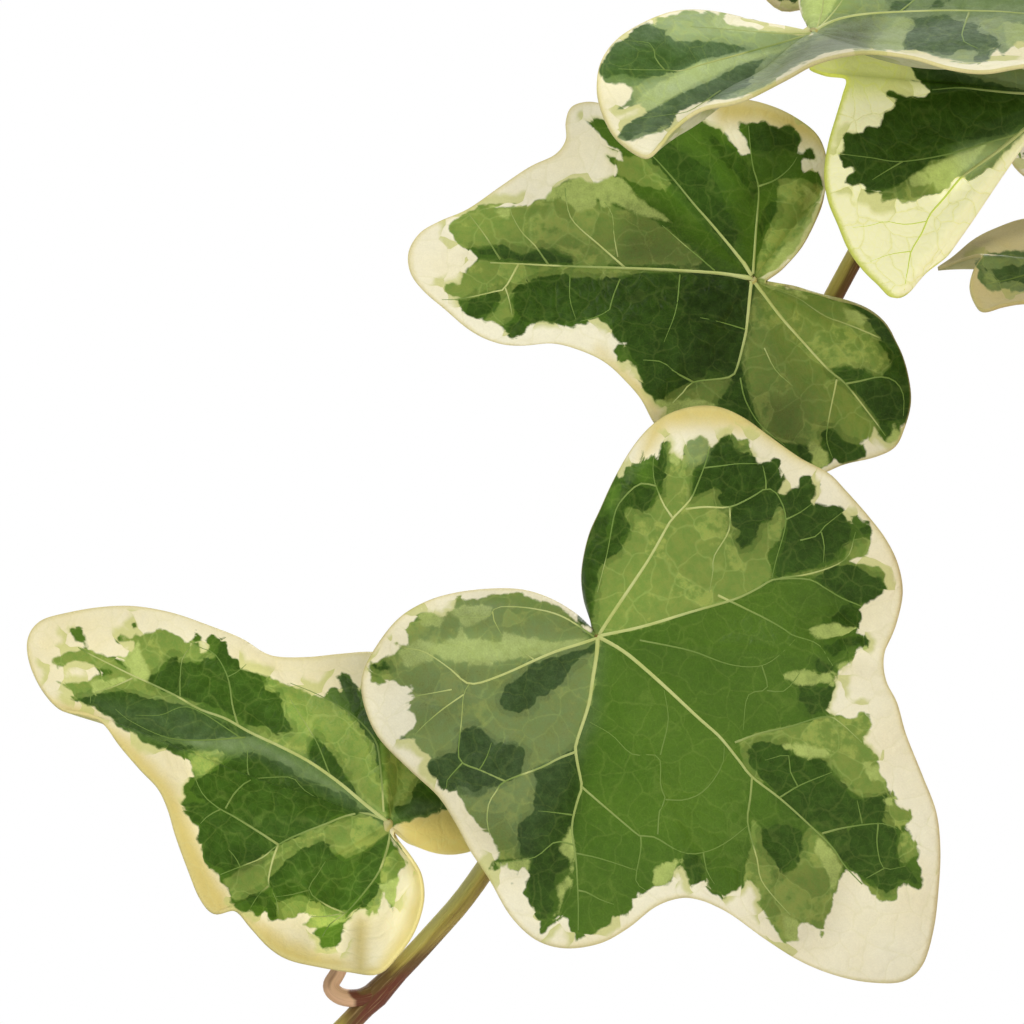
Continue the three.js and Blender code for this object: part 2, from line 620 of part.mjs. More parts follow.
const longPieces = [
  stemSolid(longCurve, longStem, longShoot.radius, longShoot.tipRadius),
  ...Object.values(viewLeaves).flatMap((leaf) => {
    const { root: bladeRoot, rings, normal } = viewRings(leaf, [0.5, 1]);
    return [viewPetiole(leaf.petiole, normal), bladeSolid(bladeRoot, ...rings, normal)];
  }),
  ...smallLeaves.map(({ petiole }, k) => viewPetiole(petiole, viewSmall[k].normal)),
  ...viewSmall.map(leafBlade),
];
function grownSolids(leaves, petioleRadius) {
  return leaves.flatMap((leaf) => [
    petioleSolid(leaf, petioleRadius * Math.sqrt(leaf.size / 36)),
    leafBlade(leaf),
  ]);
}
longPieces.push(...grownSolids([...nearPot, ...surfaceLeaves], 0.7));
ivy.add(toMesh('shoot_long', joined(longPieces), leafGreen, leafRoughness));

shoots.forEach(({ plan, curve, line, leaves }, k) => {
  const stem = stemSolid(curve, line, plan.radius, plan.radius * 0.55);
  const solid = joined([stem, ...grownSolids(leaves, 0.75)]);
  ivy.add(toMesh(`shoot_${String(k + 1).padStart(2, '0')}`, solid, leafGreen, leafRoughness));
});

export default ivy;
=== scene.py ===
# A potted english ivy with cream-edged leaves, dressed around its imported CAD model.
# Lengths in the settings are millimetres, meshes are in metres, and z = 0 is the pot's base.
import math
from functools import partial

import bmesh
import bpy
import numpy as np
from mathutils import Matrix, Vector, noise
from mathutils.bvhtree import BVHTree


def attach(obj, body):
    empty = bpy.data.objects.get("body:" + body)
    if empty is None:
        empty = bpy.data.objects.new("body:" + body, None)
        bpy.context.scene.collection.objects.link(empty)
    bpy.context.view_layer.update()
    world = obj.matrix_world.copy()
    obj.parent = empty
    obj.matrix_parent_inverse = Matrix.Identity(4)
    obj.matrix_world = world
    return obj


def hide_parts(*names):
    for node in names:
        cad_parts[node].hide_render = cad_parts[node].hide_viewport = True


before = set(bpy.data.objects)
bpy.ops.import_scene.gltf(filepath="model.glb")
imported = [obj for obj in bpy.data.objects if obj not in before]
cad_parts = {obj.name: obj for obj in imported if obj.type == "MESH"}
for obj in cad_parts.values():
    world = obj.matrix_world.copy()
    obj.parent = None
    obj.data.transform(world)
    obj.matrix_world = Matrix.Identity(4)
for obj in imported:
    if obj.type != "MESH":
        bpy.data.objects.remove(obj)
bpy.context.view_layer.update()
mm = 0.001


# ---- small helpers

def unit(vector):
    return vector / np.linalg.norm(vector)


def seededRandom(seed):
    state = seed * 7919

    def draw():
        nonlocal state
        state = state * 48271 % 2147483647
        return state / 2147483647
    return draw


def smoothPath(points, steps, closed=False):  # a smooth line through the points, steps to each gap
    points = np.asarray(points, float)
    if closed:
        padded = np.vstack([points[-1:], points, points[:2]])
    else:
        padded = np.vstack([2 * points[0] - points[1], points, 2 * points[-1] - points[-2]])
    share = (np.arange(steps) / steps)[:, None]
    runs = []
    for a, b, c, d in zip(padded, padded[1:], padded[2:], padded[3:]):
        leave, arrive = (c - a) / 2, (d - b) / 2
        runs.append(b + leave * share + (3 * (c - b) - 2 * leave - arrive) * share**2
                    + (2 * (b - c) + leave + arrive) * share**3)
    if not closed:
        runs.append(points[-1:])
    return np.vstack(runs)


def runLengths(points):  # how far along a line each of its points lies
    return np.hstack([0, np.cumsum(np.linalg.norm(np.diff(points, axis=0), axis=1))])


def pointsAt(lengths, points, marks):
    return np.stack([np.interp(marks, lengths, column) for column in np.transpose(points)], axis=1)


def lineDistance(places, line, closed=False):  # how far each place lies from a line of points
    line = np.reshape(line, (-1, 2))
    ends = np.roll(line, -1, axis=0) if closed else line[1:]
    nearest = np.full(len(places), np.inf)
    for start, end in zip(line, ends):
        run = end - start
        share = np.clip((places - start) @ run / max(run @ run, 1e-9), 0, 1)
        nearest = np.minimum(nearest, np.linalg.norm(places - start - share[:, None] * run, axis=1))
    return nearest


def insideBy(places, outline):  # distance to an outline, positive inside it
    outline = np.reshape(outline, (-1, 2))
    inside = np.zeros(len(places), bool)
    x, y = places.T
    for (ax, ay), (bx, by) in zip(outline, np.roll(outline, -1, axis=0)):
        if ay != by:
            inside ^= ((ay > y) != (by > y)) & (x < (bx - ax) * (y - ay) / (by - ay) + ax)
    return np.where(inside, 1, -1) * lineDistance(places, outline, closed=True)


def insideAny(places, outlines):
    return np.max([insideBy(places, outline) for outline in outlines], axis=0)


# ---- making pieces

tubeSettings = {"cap": 0.4, "grainStep": 0.12}  # how far a tube's end is rounded out, and its grain for each mm


def addObject(name, data):
    item = bpy.data.objects.new(name, data)
    bpy.context.scene.collection.objects.link(item)
    return item


def toMesh(shape, name):
    mesh = bpy.data.meshes.new(name)
    shape.to_mesh(mesh)
    shape.free()
    return mesh


def finalMesh(item):  # the mesh that an object's curve or modifiers make; the object itself goes
    shown = bpy.context.evaluated_depsgraph_get()
    mesh = bpy.data.meshes.new_from_object(item.evaluated_get(shown))
    bpy.data.objects.remove(item)
    return mesh


def setField(mesh, name, values):
    values = np.asarray(values, np.float32)
    kind, slot = ("FLOAT_VECTOR", "vector") if values.ndim == 2 else ("FLOAT", "value")
    mesh.attributes.new(name, kind, "POINT").data.foreach_set(slot, values.ravel())


def sheetMesh(rings, fields):
    # One leaf's sheet: rows of points from the margin in to the root, and a value for each point
    rows, spokes = rings.shape[:2]
    grid = bmesh.new()
    bmesh.ops.create_grid(grid, x_segments=spokes, y_segments=rows - 1, size=1)
    mesh = toMesh(grid, "sheet")
    closing = np.append(np.arange(spokes), 0)
    mesh.vertices.foreach_set("co", (rings[:, closing] * mm).astype(np.float32).ravel())
    for name, values in fields.items():
        setField(mesh, name, values[:, closing].reshape(-1, *values.shape[2:]))
    return mesh


def tubesMesh(tubes, sides):
    # Each tube is its points and radii, with a value for each point; both its ends are closed
    curve = bpy.data.curves.new("tubes", "CURVE")
    curve.dimensions = "3D"
    curve.bevel_depth = mm
    curve.bevel_resolution = (sides - 4) // 2
    fields = {"grain": [], "warm": []}
    around = 2 * math.pi * np.arange(sides) / sides
    for tube in tubes:
        points, radii = np.asarray(tube["points"], float), np.asarray(tube["radii"], float)
        start = points[0] - unit(points[1] - points[0]) * radii[0] * tubeSettings["cap"]
        end = points[-1] + unit(points[-1] - points[-2]) * radii[-1] * tubeSettings["cap"]
        points = np.vstack([start, points, end])
        radii = np.hstack([0, radii, 0])
        warm = np.hstack([tube["warm"][:1], tube["warm"], tube["warm"][-1:]])
        spline = curve.splines.new("POLY")
        spline.points.add(len(points) - 1)
        spline.points.foreach_set("co", np.hstack([points * mm, np.ones((len(points), 1))]).ravel())
        spline.points.foreach_set("radius", radii)
        along = runLengths(points)
        fields["warm"].append(np.repeat(warm, sides))
        fields["grain"].append(np.stack([
            np.repeat(tubeSettings["grainStep"] * along + tube.get("offset", 0), sides),
            np.tile(np.cos(around), len(points)), np.tile(np.sin(around), len(points)),
        ], axis=1))
    mesh = finalMesh(addObject("tubes", curve))
    for name, values in fields.items():
        setField(mesh, name, np.concatenate(values))
    return mesh


def makePiece(name, meshes, materials, nodes=()):
    # Joins meshes into one piece, closes seams and poles, and hangs it on the pot's body
    joined = bmesh.new()
    for mesh in meshes:
        joined.from_mesh(mesh)
        bpy.data.meshes.remove(mesh)
    bmesh.ops.remove_doubles(joined, verts=joined.verts, dist=2e-6)
    mesh = toMesh(joined, name)
    for material in materials:
        mesh.materials.append(material)
    mesh.polygons.foreach_set("material_index", np.zeros(len(mesh.polygons), np.int32))
    mesh.shade_smooth()
    piece = addObject(name, mesh)
    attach(piece, "root")
    if nodes:
        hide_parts(*nodes)
    return piece


def makeBlades(name, meshes, nodes=(), upper=None):  # leaf sheets given their thickness, each side its finish
    piece = makePiece(name, meshes, [upper or leafUpper, leafUnder], nodes)
    wall = piece.modifiers.new("blade", "SOLIDIFY")
    wall.thickness, wall.offset = bladeSettings["thickness"] * mm, 0
    wall.material_offset, wall.material_offset_rim = 1, 0


# ---- where everything grows, by the rule that the CAD part follows

potSettings = {
    "height": 100, "rimRadius": 58, "baseRadius": 40, "wall": 4.5, "floor": 6,
    "bandHeight": 21, "bandStep": 3, "holeRadius": 4, "holeCircle": 22, "holeCount": 3,
}
soilSettings = {
    "top": 88, "crown": 2.5, "gap": 0.3, "stemDepth": 18,
    "roughness": 0.9, "crumbs": 420, "grains": 46, "seed": 31, "rings": 44, "spokes": 120,
}
growSettings = {
    "nodeSpacing": 20, "standingSpacing": 12, "firstHeight": 104, "petiole": (11, 24),
    "clearance": 3.7, "tries": 120, "floorClearance": 1.5, "keepOut": -72, "sampleStep": 2.5,
}
viewSettings = {"pointSize": 55.2 / 575, "centre": (512, 512), "x": -125, "z": 62, "distance": 900}
holeBottom = soilSettings["top"] - soilSettings["stemDepth"] + soilSettings["gap"]
stemFoot = soilSettings["top"] + soilSettings["crown"] + 1
upward = np.array([0.0, 0.0, 1.0])

# direction in degrees, where the stem leaves the soil, reach, lowest point, radius, leaf size, seed
shootPlans = (
  (134, 26, 84, 34, 1.5, 38, 11),
  (96, 20, 82, 52, 1.4, 35, 23),
  (58, 29, 85, 24, 1.5, 39, 37),
  (20, 18, 82, 58, 1.4, 36, 41),
  (-16, 28, 86, 20, 1.5, 40, 59),
  (-56, 20, 82, 50, 1.4, 36, 67),
  (-94, 28, 85, 28, 1.5, 38, 71),
  (-130, 22, 80, 60, 1.4, 34, 83),
  (40, 8, 36, 148, 1.3, 33, 97),
  (-110, 7, 30, 142, 1.3, 33, 103),
  (165, 12, 36, 148, 1.3, 30, 109),
  (-24, 9, 30, 140, 1.3, 36, 127),
  (120, 10, 22, 160, 1.3, 32, 139),
)

# The long shoot's leaves as the photograph shows them: petiole points, then the margin clockwise.
# Each point is px, py and, at some, how far it lies toward the viewer and how much the blade swells.
viewLeaves = {
 "leafA": {
  "petiole": ((676,566,0), (652,594,5), (620,622,11), (598,637,18)),
  "margin": (
   (592,621,18,0.2), (585,598), (583,570), (590,535,18.5,0.6), (602,508), (615,480), (632,450), (650,428), (670,414),
   (695,407,18,1), (720,408), (745,419), (770,437), (800,458,20.5,0.2), (828,473), (845,490), (868,516), (886,540),
   (898,566), (902,595,17.5,1.1), (895,628), (884,655,20.5,0), (886,680), (897,703), (906,735), (922,775),
   (936,812,17,0.5), (940,850), (938,890), (933,930), (922,965), (902,981,14,1.2), (870,982), (835,975), (800,961),
   (765,939), (730,914), (700,900,19.5,0), (680,898), (655,907), (628,928), (600,943,17.5,0.8), (565,948), (535,939),
   (510,915), (490,880), (470,850), (455,822,18.5,0), (438,796), (408,768), (378,736), (364,702,14,1), (363,675),
   (376,648), (398,620), (425,603), (455,594), (490,590,16.5,0.8), (522,591), (550,600), (575,615), (591,629,18,0.1),
  ),
 },
 "leafB": {
  "petiole": ((790,375,0), (782,340,2), (766,304,6), (752,280,12)),
  "margin": (
   (768,279,12,0.1), (785,266), (803,245,10.5,0.5), (818,215), (826,188,8,0.9), (827,162), (819,137), (800,120,8.5,1),
   (772,106), (740,99), (708,104), (675,113,11,0.3), (640,112), (612,106), (590,102,10.5,0.6), (572,107), (566,122),
   (566,140), (555,155), (530,167), (500,187,13,0.3), (468,209), (440,221), (420,233), (409,252,12.5,0.9), (411,273),
   (424,291), (445,309), (470,330), (495,342,14,0.4), (520,345), (552,343), (580,350), (605,362), (625,380),
   (642,400,14,0.1), (658,428), (690,460), (735,478,12.5,0.4), (780,485), (820,474), (845,464), (875,457),
   (895,447,9.5,0.9), (905,427), (911,402), (908,375), (899,347,8,1.1), (885,322), (862,306,10,0.6), (830,297),
   (798,288), (770,283,12,0.1),
  ),
 },
 "leafC": {
  "petiole": (
   (378,992,0), (358,998,0.6), (340,996,0.8), (331,986,0.8), (339,970,0.6), (352,938,1), (374,880,4), (388,823,10),
  ),
  "margin": (
   (396,831,10,0.1), (412,843), (435,852,8,0.3), (460,853), (478,845), (495,815,5,0.6), (500,775), (485,735),
   (460,705), (425,675,2,0.8), (395,657), (372,652,3.5,-0.6), (340,654), (310,657), (280,657), (262,652,3.5,-0.2),
   (240,638), (205,624), (170,612), (135,606,4.5,0.8), (100,607), (65,613), (40,621), (28,638,8,1.2), (30,662),
   (42,688), (60,707), (85,713,11.5,1), (103,722), (120,745), (140,768), (158,787), (168,808,14,0.4), (176,835),
   (188,868), (200,897), (214,912,16,1.2), (235,909), (252,927), (270,946), (290,958,16.5,3), (320,965), (350,970),
   (378,972,16,3.4), (397,955), (414,930), (423,900,14,2.4), (421,875), (411,857), (398,840,10.5,0.3),
  ),
 },
 "leafD": {
  "petiole": ((905,165,0), (893,112,2), (868,62,7), (836,41,15), (813,33,24)),
  "margin": (
   (795,31,24,0), (775,26), (740,15,26,0.5), (700,9), (670,11,29,0.3), (640,23), (615,40), (600,63,36,-0.4), (597,90),
   (606,120), (620,140), (645,155,45,0.6), (660,143), (672,128), (700,108,43,0.6), (740,99), (785,77),
   (815,61,39,0.2), (850,52), (880,51), (915,56), (950,66,40,1.4), (985,70), (1024,64), (1080,58,37,1.8), (1140,55),
   (1190,40,32,2.2), (1190,15), (1150,-5), (1100,-22,18,1.6), (1040,-38), (980,-48,12,1), (920,-60), (870,-66,9,0.6),
   (830,-55), (806,-30,13,0.2), (800,-4), (803,12), (809,24,22,0),
  ),
 },
 "leafE": {
  "petiole": ((960,80,0), (985,66,3), (1030,74,9), (1062,92,16)),
  "margin": (
   (1052,78,16,0), (1000,60,16.5,0.4), (950,47), (900,46), (862,50,17,0.8), (829,57), (810,67), (824,74), (846,78),
   (843,95,18.5,1), (837,115), (829,143), (825,173), (829,200,21,1.2), (839,225), (849,249), (863,269), (878,284),
   (892,297,22,1), (906,294), (922,276), (943,259), (955,243), (967,216,18,0.6), (980,194), (996,171), (1012,157),
   (1030,138,13,0.2), (1056,124), (1090,132,10,0), (1118,118), (1124,84), (1100,52,12,0.3), (1070,64,15,0),
  ),
 },
 "leafF": {
  "petiole": ((1100,-40,0), (1126,90,-3), (1116,200,-7), (1078,262,-8)),
  "margin": (
   (1066,250,-8,0), (1050,222,-12,0.2), (1024,218), (994,228), (973,239), (955,254), (938,267,-10,0.2), (962,258),
   (981,254,-6,0.2), (974,267), (970,284), (974,299), (983,309,-2,0.6), (1003,304), (1024,301), (1054,303),
   (1082,300,-3,0.4), (1096,280), (1086,266,-8,0),
  ),
 },
}

smallLeaves = (
    {"petiole": ((1060, -18, 0), (1084, 70, -6), (1088, 150, -12)), "tip": (1010, 158, -12), "lean": 0.3},
    {"petiole": ((1000, 26, 0), (930, -62, -5), (812, -112, -8)), "tip": (782, 9, -5), "lean": 0.2},
)
throughView = (
    (1090, -52, 0), (1024, 0, 0), (960, 80, 0), (905, 165, 0), (852, 262, 0), (790, 375, 0),
    (676, 566, 0), (590, 705, 0), (483, 872, 0), (432, 935, 0), (378, 992, 0), (348, 1024, 0),
)
overRim = ((-27, 0, 107), (-44, -1, 118))
alongSurface = ((-148, -1, 6), (-158, -3, 2), (-172, -8, 1.1), (-188, -6, 1.1))


def fromView(points):  # picture points to millimetres, each lying toward millimetres nearer the viewer
    points = np.atleast_2d(np.asarray(points, float))
    size = viewSettings["pointSize"] * (1 - points[:, 2] / viewSettings["distance"])
    centreX, centreY = viewSettings["centre"]
    return np.stack([viewSettings["x"] + (points[:, 0] - centreX) * size, -points[:, 2],
                     viewSettings["z"] - (points[:, 1] - centreY) * size], axis=1)


def toView(points):
    size = viewSettings["pointSize"] * (1 + points[..., 1] / viewSettings["distance"])
    centreX, centreY = viewSettings["centre"]
    return np.stack([centreX + (points[..., 0] - viewSettings["x"]) / size,
                     centreY - (points[..., 2] - viewSettings["z"]) / size], axis=-1)


def fillBetween(margin, slot):  # values given at some margin points, even between them
    known = [k for k, entry in enumerate(margin) if len(entry) > slot]
    values = [margin[k][slot] for k in known]
    count = len(margin)
    around = [known[-1] - count, *known, known[0] + count]
    return np.interp(range(count), around, [values[-1], *values, values[0]])


def viewLeaf(leaf, shares, steps=0):  # rings of a leaf of the view, counterclockwise from its upper side
    margin = np.array([entry[:2] for entry in leaf["margin"]], float)
    rim = np.column_stack([margin, fillBetween(leaf["margin"], 2), fillBetween(leaf["margin"], 3)])
    root = fromView(leaf["petiole"][-1])[0]
    coarse = fromView(rim)[::-1] - root
    normal = unit(np.cross(coarse, np.roll(coarse, -1, axis=0)).sum(axis=0))
    if steps:
        rim = smoothPath(rim, steps, closed=True)
    edge, swell = fromView(rim)[::-1] - root, rim[::-1, 3]
    shares = np.asarray(shares)[:, None, None]
    rings = root + edge * shares + normal * 4 * shares * (1 - shares) * swell[None, :, None]
    return root, rings, normal


def stemLine(points, steps=12):
    points = smoothPath(points, steps)
    lengths = runLengths(points)
    line = {"points": points, "lengths": lengths, "total": lengths[-1], "nodes": []}
    step = growSettings["sampleStep"]
    marks = (np.arange(math.floor(lengths[-1] / step)) + 0.5) * step
    line["samples"] = np.array([alongStem(line, mark)[0] for mark in marks])
    return line


def alongStem(line, length):
    after = max(1, int(np.searchsorted(line["lengths"], length)))
    start, end = line["points"][after - 1], line["points"][after]
    low, high = line["lengths"][after - 1], line["lengths"][after]
    return start + (end - start) * (length - low) / (high - low), unit(end - start)


def lengthWhere(line, test):
    return line["lengths"][next(k for k, point in enumerate(line["points"]) if test(*point))]


# The rule-made leaf: how far its margin lies from its root, by the angle from its midrib
lobeReach = ((0, 1), (20, 0.86), (36, 0.66), (62, 0.73), (90, 0.56), (122, 0.55), (152, 0.3), (180, 0.07))


def leafLift(leaf, x, y, angle, share):
    return (leaf["fold"] * np.abs(y) - leaf["bend"] * (0.3 * x * x + 0.25 * y * y)
            + leaf["wave"] * share**2 * np.sin(3 * angle + leaf["phase"]))


def leafPlace(leaf, x, y, lift):
    return leaf["root"] + leaf["size"] * (np.multiply.outer(x, leaf["along"])
                                          + np.multiply.outer(y, leaf["across"])
                                          + np.multiply.outer(lift, leaf["normal"]))


def leafSamples(leaf):
    degrees, shares = [], []
    for share in (0.2, 0.4, 0.6, 0.8, 1):
        count = round(32 * share)
        degrees += [360 * k / count - 180 for k in range(count)]
        shares += [share] * count
    angle, share = np.radians(degrees), np.array(shares)
    reach = share * np.interp(np.abs(degrees), *zip(*lobeReach))
    x, y = reach * np.cos(angle), reach * np.sin(angle)
    return leafPlace(leaf, x, y, leafLift(leaf, x, y, angle, share))


taken = {"points": np.zeros((0, 3)), "owner": np.zeros(0, int)}


def take(points, owner=-1):
    taken["points"] = np.vstack([taken["points"], points])
    taken["owner"] = np.hstack([taken["owner"], np.full(len(points), owner)])


def isClear(samples, owner=None):  # nothing in place comes nearer than the clearance
    reach = growSettings["clearance"]
    points = taken["points"]
    near = np.all((points >= samples.min(axis=0) - reach) & (points <= samples.max(axis=0) + reach), axis=1)
    if owner is not None:
        near &= taken["owner"] != owner
    gaps = samples[:, None] - points[near][None]
    return not near.any() or np.linalg.norm(gaps, axis=2).min() >= reach


def outsidePot(points):
    beyond = np.hypot(points[:, 0], points[:, 1]) > potSettings["rimRadius"] + 2.5
    return (points[:, 2] > potSettings["height"] + 2.5) | beyond


def tryLeaf(point, tangent, side, size, petioleLength, draw):
    def jitter():
        return 2 * draw() - 1
    out = unit(np.array([point[0], point[1], 0.0]))
    flatness = 1 - abs(tangent[2])
    face = unit(out + upward * (0.5 + 1.5 * flatness))
    across = unit(np.cross(tangent, face))
    root = point + petioleLength * unit(across * side * (0.85 + 0.35 * jitter()) + face * (0.6 + 0.3 * jitter())
                                        + tangent * (0.3 + 0.3 * jitter()))
    normal = unit(face + across * (0.35 * jitter()) + tangent * (0.35 * jitter() - 0.1)
                  + upward * (0.2 * jitter()))
    along = (across * side * (0.6 + 0.4 * jitter()) + tangent * (0.8 + 0.3 * jitter())
             - 0.35 * upward + out * (0.3 * flatness))
    along = unit(along - normal * (along @ normal))
    leaf = {"root": root, "normal": normal, "along": along, "across": np.cross(normal, along), "size": size,
            "node": point, "lean": (point + root) / 2 - face * (0.12 * petioleLength)}
    for name, low, high in (("fold", 0, 0.12), ("bend", 0.3, 0.8), ("wave", 0.03, 0.06), ("phase", 0, 2 * math.pi)):
        leaf[name] = low + (high - low) * draw()
    return leaf


def growLeaves(line, owner, draw, allowed, start, stop, spacing, size, tipShare, petiole):
    leaves = []
    gaps = round((stop - start) / spacing)
    for k in range(gaps + 1):
        length = start + (stop - start) * k / gaps
        point, tangent = alongStem(line, length)
        for attempt in range(growSettings["tries"]):
            shrink = 1 - 0.35 * attempt / growSettings["tries"]
            leafSize = size * (1 - (1 - tipShare) * k / gaps) * (0.9 + 0.2 * draw()) * shrink
            petioleLength = petiole[0] + (petiole[1] - petiole[0]) * draw()
            leaf = tryLeaf(point, tangent, 1 if k % 2 else -1, leafSize, petioleLength, draw)
            blade = leafSamples(leaf)
            stalk = leaf["node"] + np.outer((0.2, 0.4, 0.6, 0.8), leaf["root"] - leaf["node"])
            if allowed(blade).all() and isClear(blade) and isClear(stalk, owner):
                leaves.append(leaf)
                line["nodes"].append(length)
                take(blade)
                take(stalk)
                break
    return leaves


def smallViewLeaf(leaf):
    root = fromView(leaf["petiole"][-1])[0]
    along = fromView(leaf["tip"])[0] - root
    size = np.linalg.norm(along)
    along = along / size
    normal = np.array([0, -1, leaf["lean"]])
    normal = unit(normal - along * (normal @ along))
    return {"root": root, "normal": normal, "along": along, "across": np.cross(normal, along), "size": size,
            "fold": 0.1, "bend": 0.2, "wave": 0.03, "phase": 1}


def shootPoints(turn, root, reach, low, draw):
    def place(radius, height, drift=0.0):
        angle = math.radians(turn + drift)
        return [radius * math.cos(angle), radius * math.sin(angle), height]

    def drift():
        return 12 * (draw() - 0.5)
    rim = potSettings["height"]
    points = [place(root, height) for height in (holeBottom, stemFoot, stemFoot + 5)]
    if low > rim:
        points.append(place(root * 1.3, rim + 12))
        way = (((root + reach) / 2, (rim + low) / 2 + 8),)
    else:
        points.append(place(root * 1.2 + 2, rim + 6))
        way = ((0.66 * reach, rim + 17), (0.87 * reach, rim + 11), (reach, rim - 10),
               (reach + 1, (rim - 10 + low) / 2))
    return points + [place(*spot, drift()) for spot in (*way, (reach - 1, low))]


longPoints = [(-24, 0, height) for height in (holeBottom, stemFoot, stemFoot + 5)]
longStem = stemLine(np.vstack([longPoints, overRim, fromView(throughView), alongSurface]))
shoots = []
for turn, root, reach, low, radius, leafSize, seed in shootPlans:
    draw = seededRandom(seed)
    line = stemLine(shootPoints(turn, root, reach, low, draw))
    spacing = growSettings["standingSpacing" if low > potSettings["height"] else "nodeSpacing"]
    shoots.append({"line": line, "radius": radius, "size": leafSize, "draw": draw, "spacing": spacing})

take(longStem["samples"], 0)
for leaf in viewLeaves.values():
    take(viewLeaf(leaf, (0.2, 0.4, 0.6, 0.8, 1))[1].reshape(-1, 3))
viewSmall = [smallViewLeaf(leaf) for leaf in smallLeaves]
for leaf in viewSmall:
    take(leafSamples(leaf))
viewPetioles = [leaf["petiole"] for leaf in (*viewLeaves.values(), *smallLeaves)]
for points in viewPetioles:
    take(stemLine(fromView(points))["samples"])
for k, shoot in enumerate(shoots):
    take(shoot["line"]["samples"], k + 1)

longDraw = seededRandom(7)
keepOut, petioleRange = growSettings["keepOut"], growSettings["petiole"]
nearPot = growLeaves(
    longStem, 0, longDraw, lambda blade: outsidePot(blade) & (blade[:, 0] > keepOut),
    start=lengthWhere(longStem, lambda x, y, z: z > growSettings["firstHeight"]),
    stop=lengthWhere(longStem, lambda x, y, z: x < keepOut + 8),
    spacing=17, size=34, tipShare=0.9, petiole=(14, petioleRange[1]))
surfaceLeaves = growLeaves(
    longStem, 0, longDraw, lambda blade: (blade[:, 2] > growSettings["floorClearance"]) & (blade[:, 2] < 11.5),
    start=lengthWhere(longStem, lambda x, y, z: z < 9 and x < -110), stop=longStem["total"] - 0.5,
    spacing=9, size=18, tipShare=0.6, petiole=(6, 10))
for k, shoot in enumerate(shoots):
    shoot["leaves"] = growLeaves(
        shoot["line"], k + 1, shoot["draw"],
        lambda blade: outsidePot(blade) & (blade[:, 2] > growSettings["floorClearance"]) & (blade[:, 0] > keepOut),
        start=lengthWhere(shoot["line"], lambda x, y, z: z > growSettings["firstHeight"]),
        stop=shoot["line"]["total"] - 0.5,
        spacing=shoot["spacing"], size=shoot["size"], tipShare=0.5, petiole=petioleRange)
grown = [*nearPot, *surfaceLeaves, *(leaf for shoot in shoots for leaf in shoot["leaves"])]
print("leaves placed:", len(viewLeaves), "in view and", len(viewSmall) + len(grown), "others",
      [len(shoot["leaves"]) for shoot in shoots])


# ---- materials

def paint(red, green, blue):  # a colour given as it looks on screen, 0 to 255
    return tuple(((c / 255 + 0.055) / 1.055) ** 2.4 if c > 10 else c / 3294.6 for c in (red, green, blue)) + (1,)


def paints(**shades):
    return {name: paint(*shade) for name, shade in shades.items()}


def addNode(tree, kind, inputs=None, **settings):
    node = tree.nodes.new(kind)
    for name, value in settings.items():
        setattr(node, name, value)
    for name, value in (inputs or {}).items():
        if isinstance(value, bpy.types.NodeSocket):
            tree.links.new(value, node.inputs[name])
        else:
            node.inputs[name].default_value = value
    return node


def calc(tree, operation, *values):
    return addNode(tree, "ShaderNodeMath", dict(enumerate(values)), operation=operation).outputs[0]


def vectorCalc(tree, operation, inputs, output=0):
    return addNode(tree, "ShaderNodeVectorMath", inputs, operation=operation).outputs[output]


def remap(tree, value, low, high, toLow=0.0, toHigh=1.0):  # a soft step from low to high
    inputs = {"Value": value, "From Min": low, "From Max": high, "To Min": toLow, "To Max": toHigh}
    return addNode(tree, "ShaderNodeMapRange", inputs, interpolation_type="SMOOTHSTEP").outputs["Result"]


def mixColors(tree, factor, first, second, blend="MIX"):
    node = addNode(tree, "ShaderNodeMix", {0: factor, 6: first, 7: second}, data_type="RGBA", blend_type=blend)
    return node.outputs[2]


def coated(tree, color, *coats):  # a colour with others laid over it in turn, each where its mask says
    for mask, coat in coats:
        color = mixColors(tree, mask, color, coat)
    return color


def noiseAt(tree, vector, scale, detail=3.0, output="Fac"):
    inputs = {"Vector": vector, "Scale": scale, "Detail": detail, "Roughness": 0.55}
    return addNode(tree, "ShaderNodeTexNoise", inputs).outputs[output]


def cellsAt(tree, vector, scale, feature="F1", output="Distance"):
    return addNode(tree, "ShaderNodeTexVoronoi", {"Vector": vector, "Scale": scale}, feature=feature).outputs[output]


def readField(tree, name, output="Fac"):
    return addNode(tree, "ShaderNodeAttribute", attribute_name=name).outputs[output]


def objectPlace(tree):
    return addNode(tree, "ShaderNodeTexCoord").outputs["Object"]


def feed(tree, sockets, **sources):
    for label, source in sources.items():
        tree.links.new(source, sockets[label.replace("_", " ")])


def startGroup(name, inputs, outputs):
    group = bpy.data.node_groups.new(name, "ShaderNodeTree")
    for label, kind, value in inputs:
        socket = group.interface.new_socket(label, in_out="INPUT", socket_type="NodeSocket" + kind)
        if value is not None:
            socket.default_value = value
    for label, kind in outputs:
        group.interface.new_socket(label, in_out="OUTPUT", socket_type="NodeSocket" + kind)
    return group, group.nodes.new("NodeGroupInput").outputs, group.nodes.new("NodeGroupOutput").inputs


def placeGroup(tree, group, **inputs):
    return addNode(tree, "ShaderNodeGroup", inputs, node_tree=group).outputs


def startMaterial(name, **constants):
    material = bpy.data.materials.new(name)
    material.use_nodes = True
    shader = material.node_tree.nodes["Principled BSDF"]
    for label, value in constants.items():
        shader.inputs[label.replace("_", " ")].default_value = value
    return material, material.node_tree, shader.inputs


def addBump(tree, shader, height, distance):
    inputs = {"Height": height, "Distance": distance * mm, "Strength": 1.0}
    feed(tree, shader, Normal=addNode(tree, "ShaderNodeBump", inputs).outputs["Normal"])


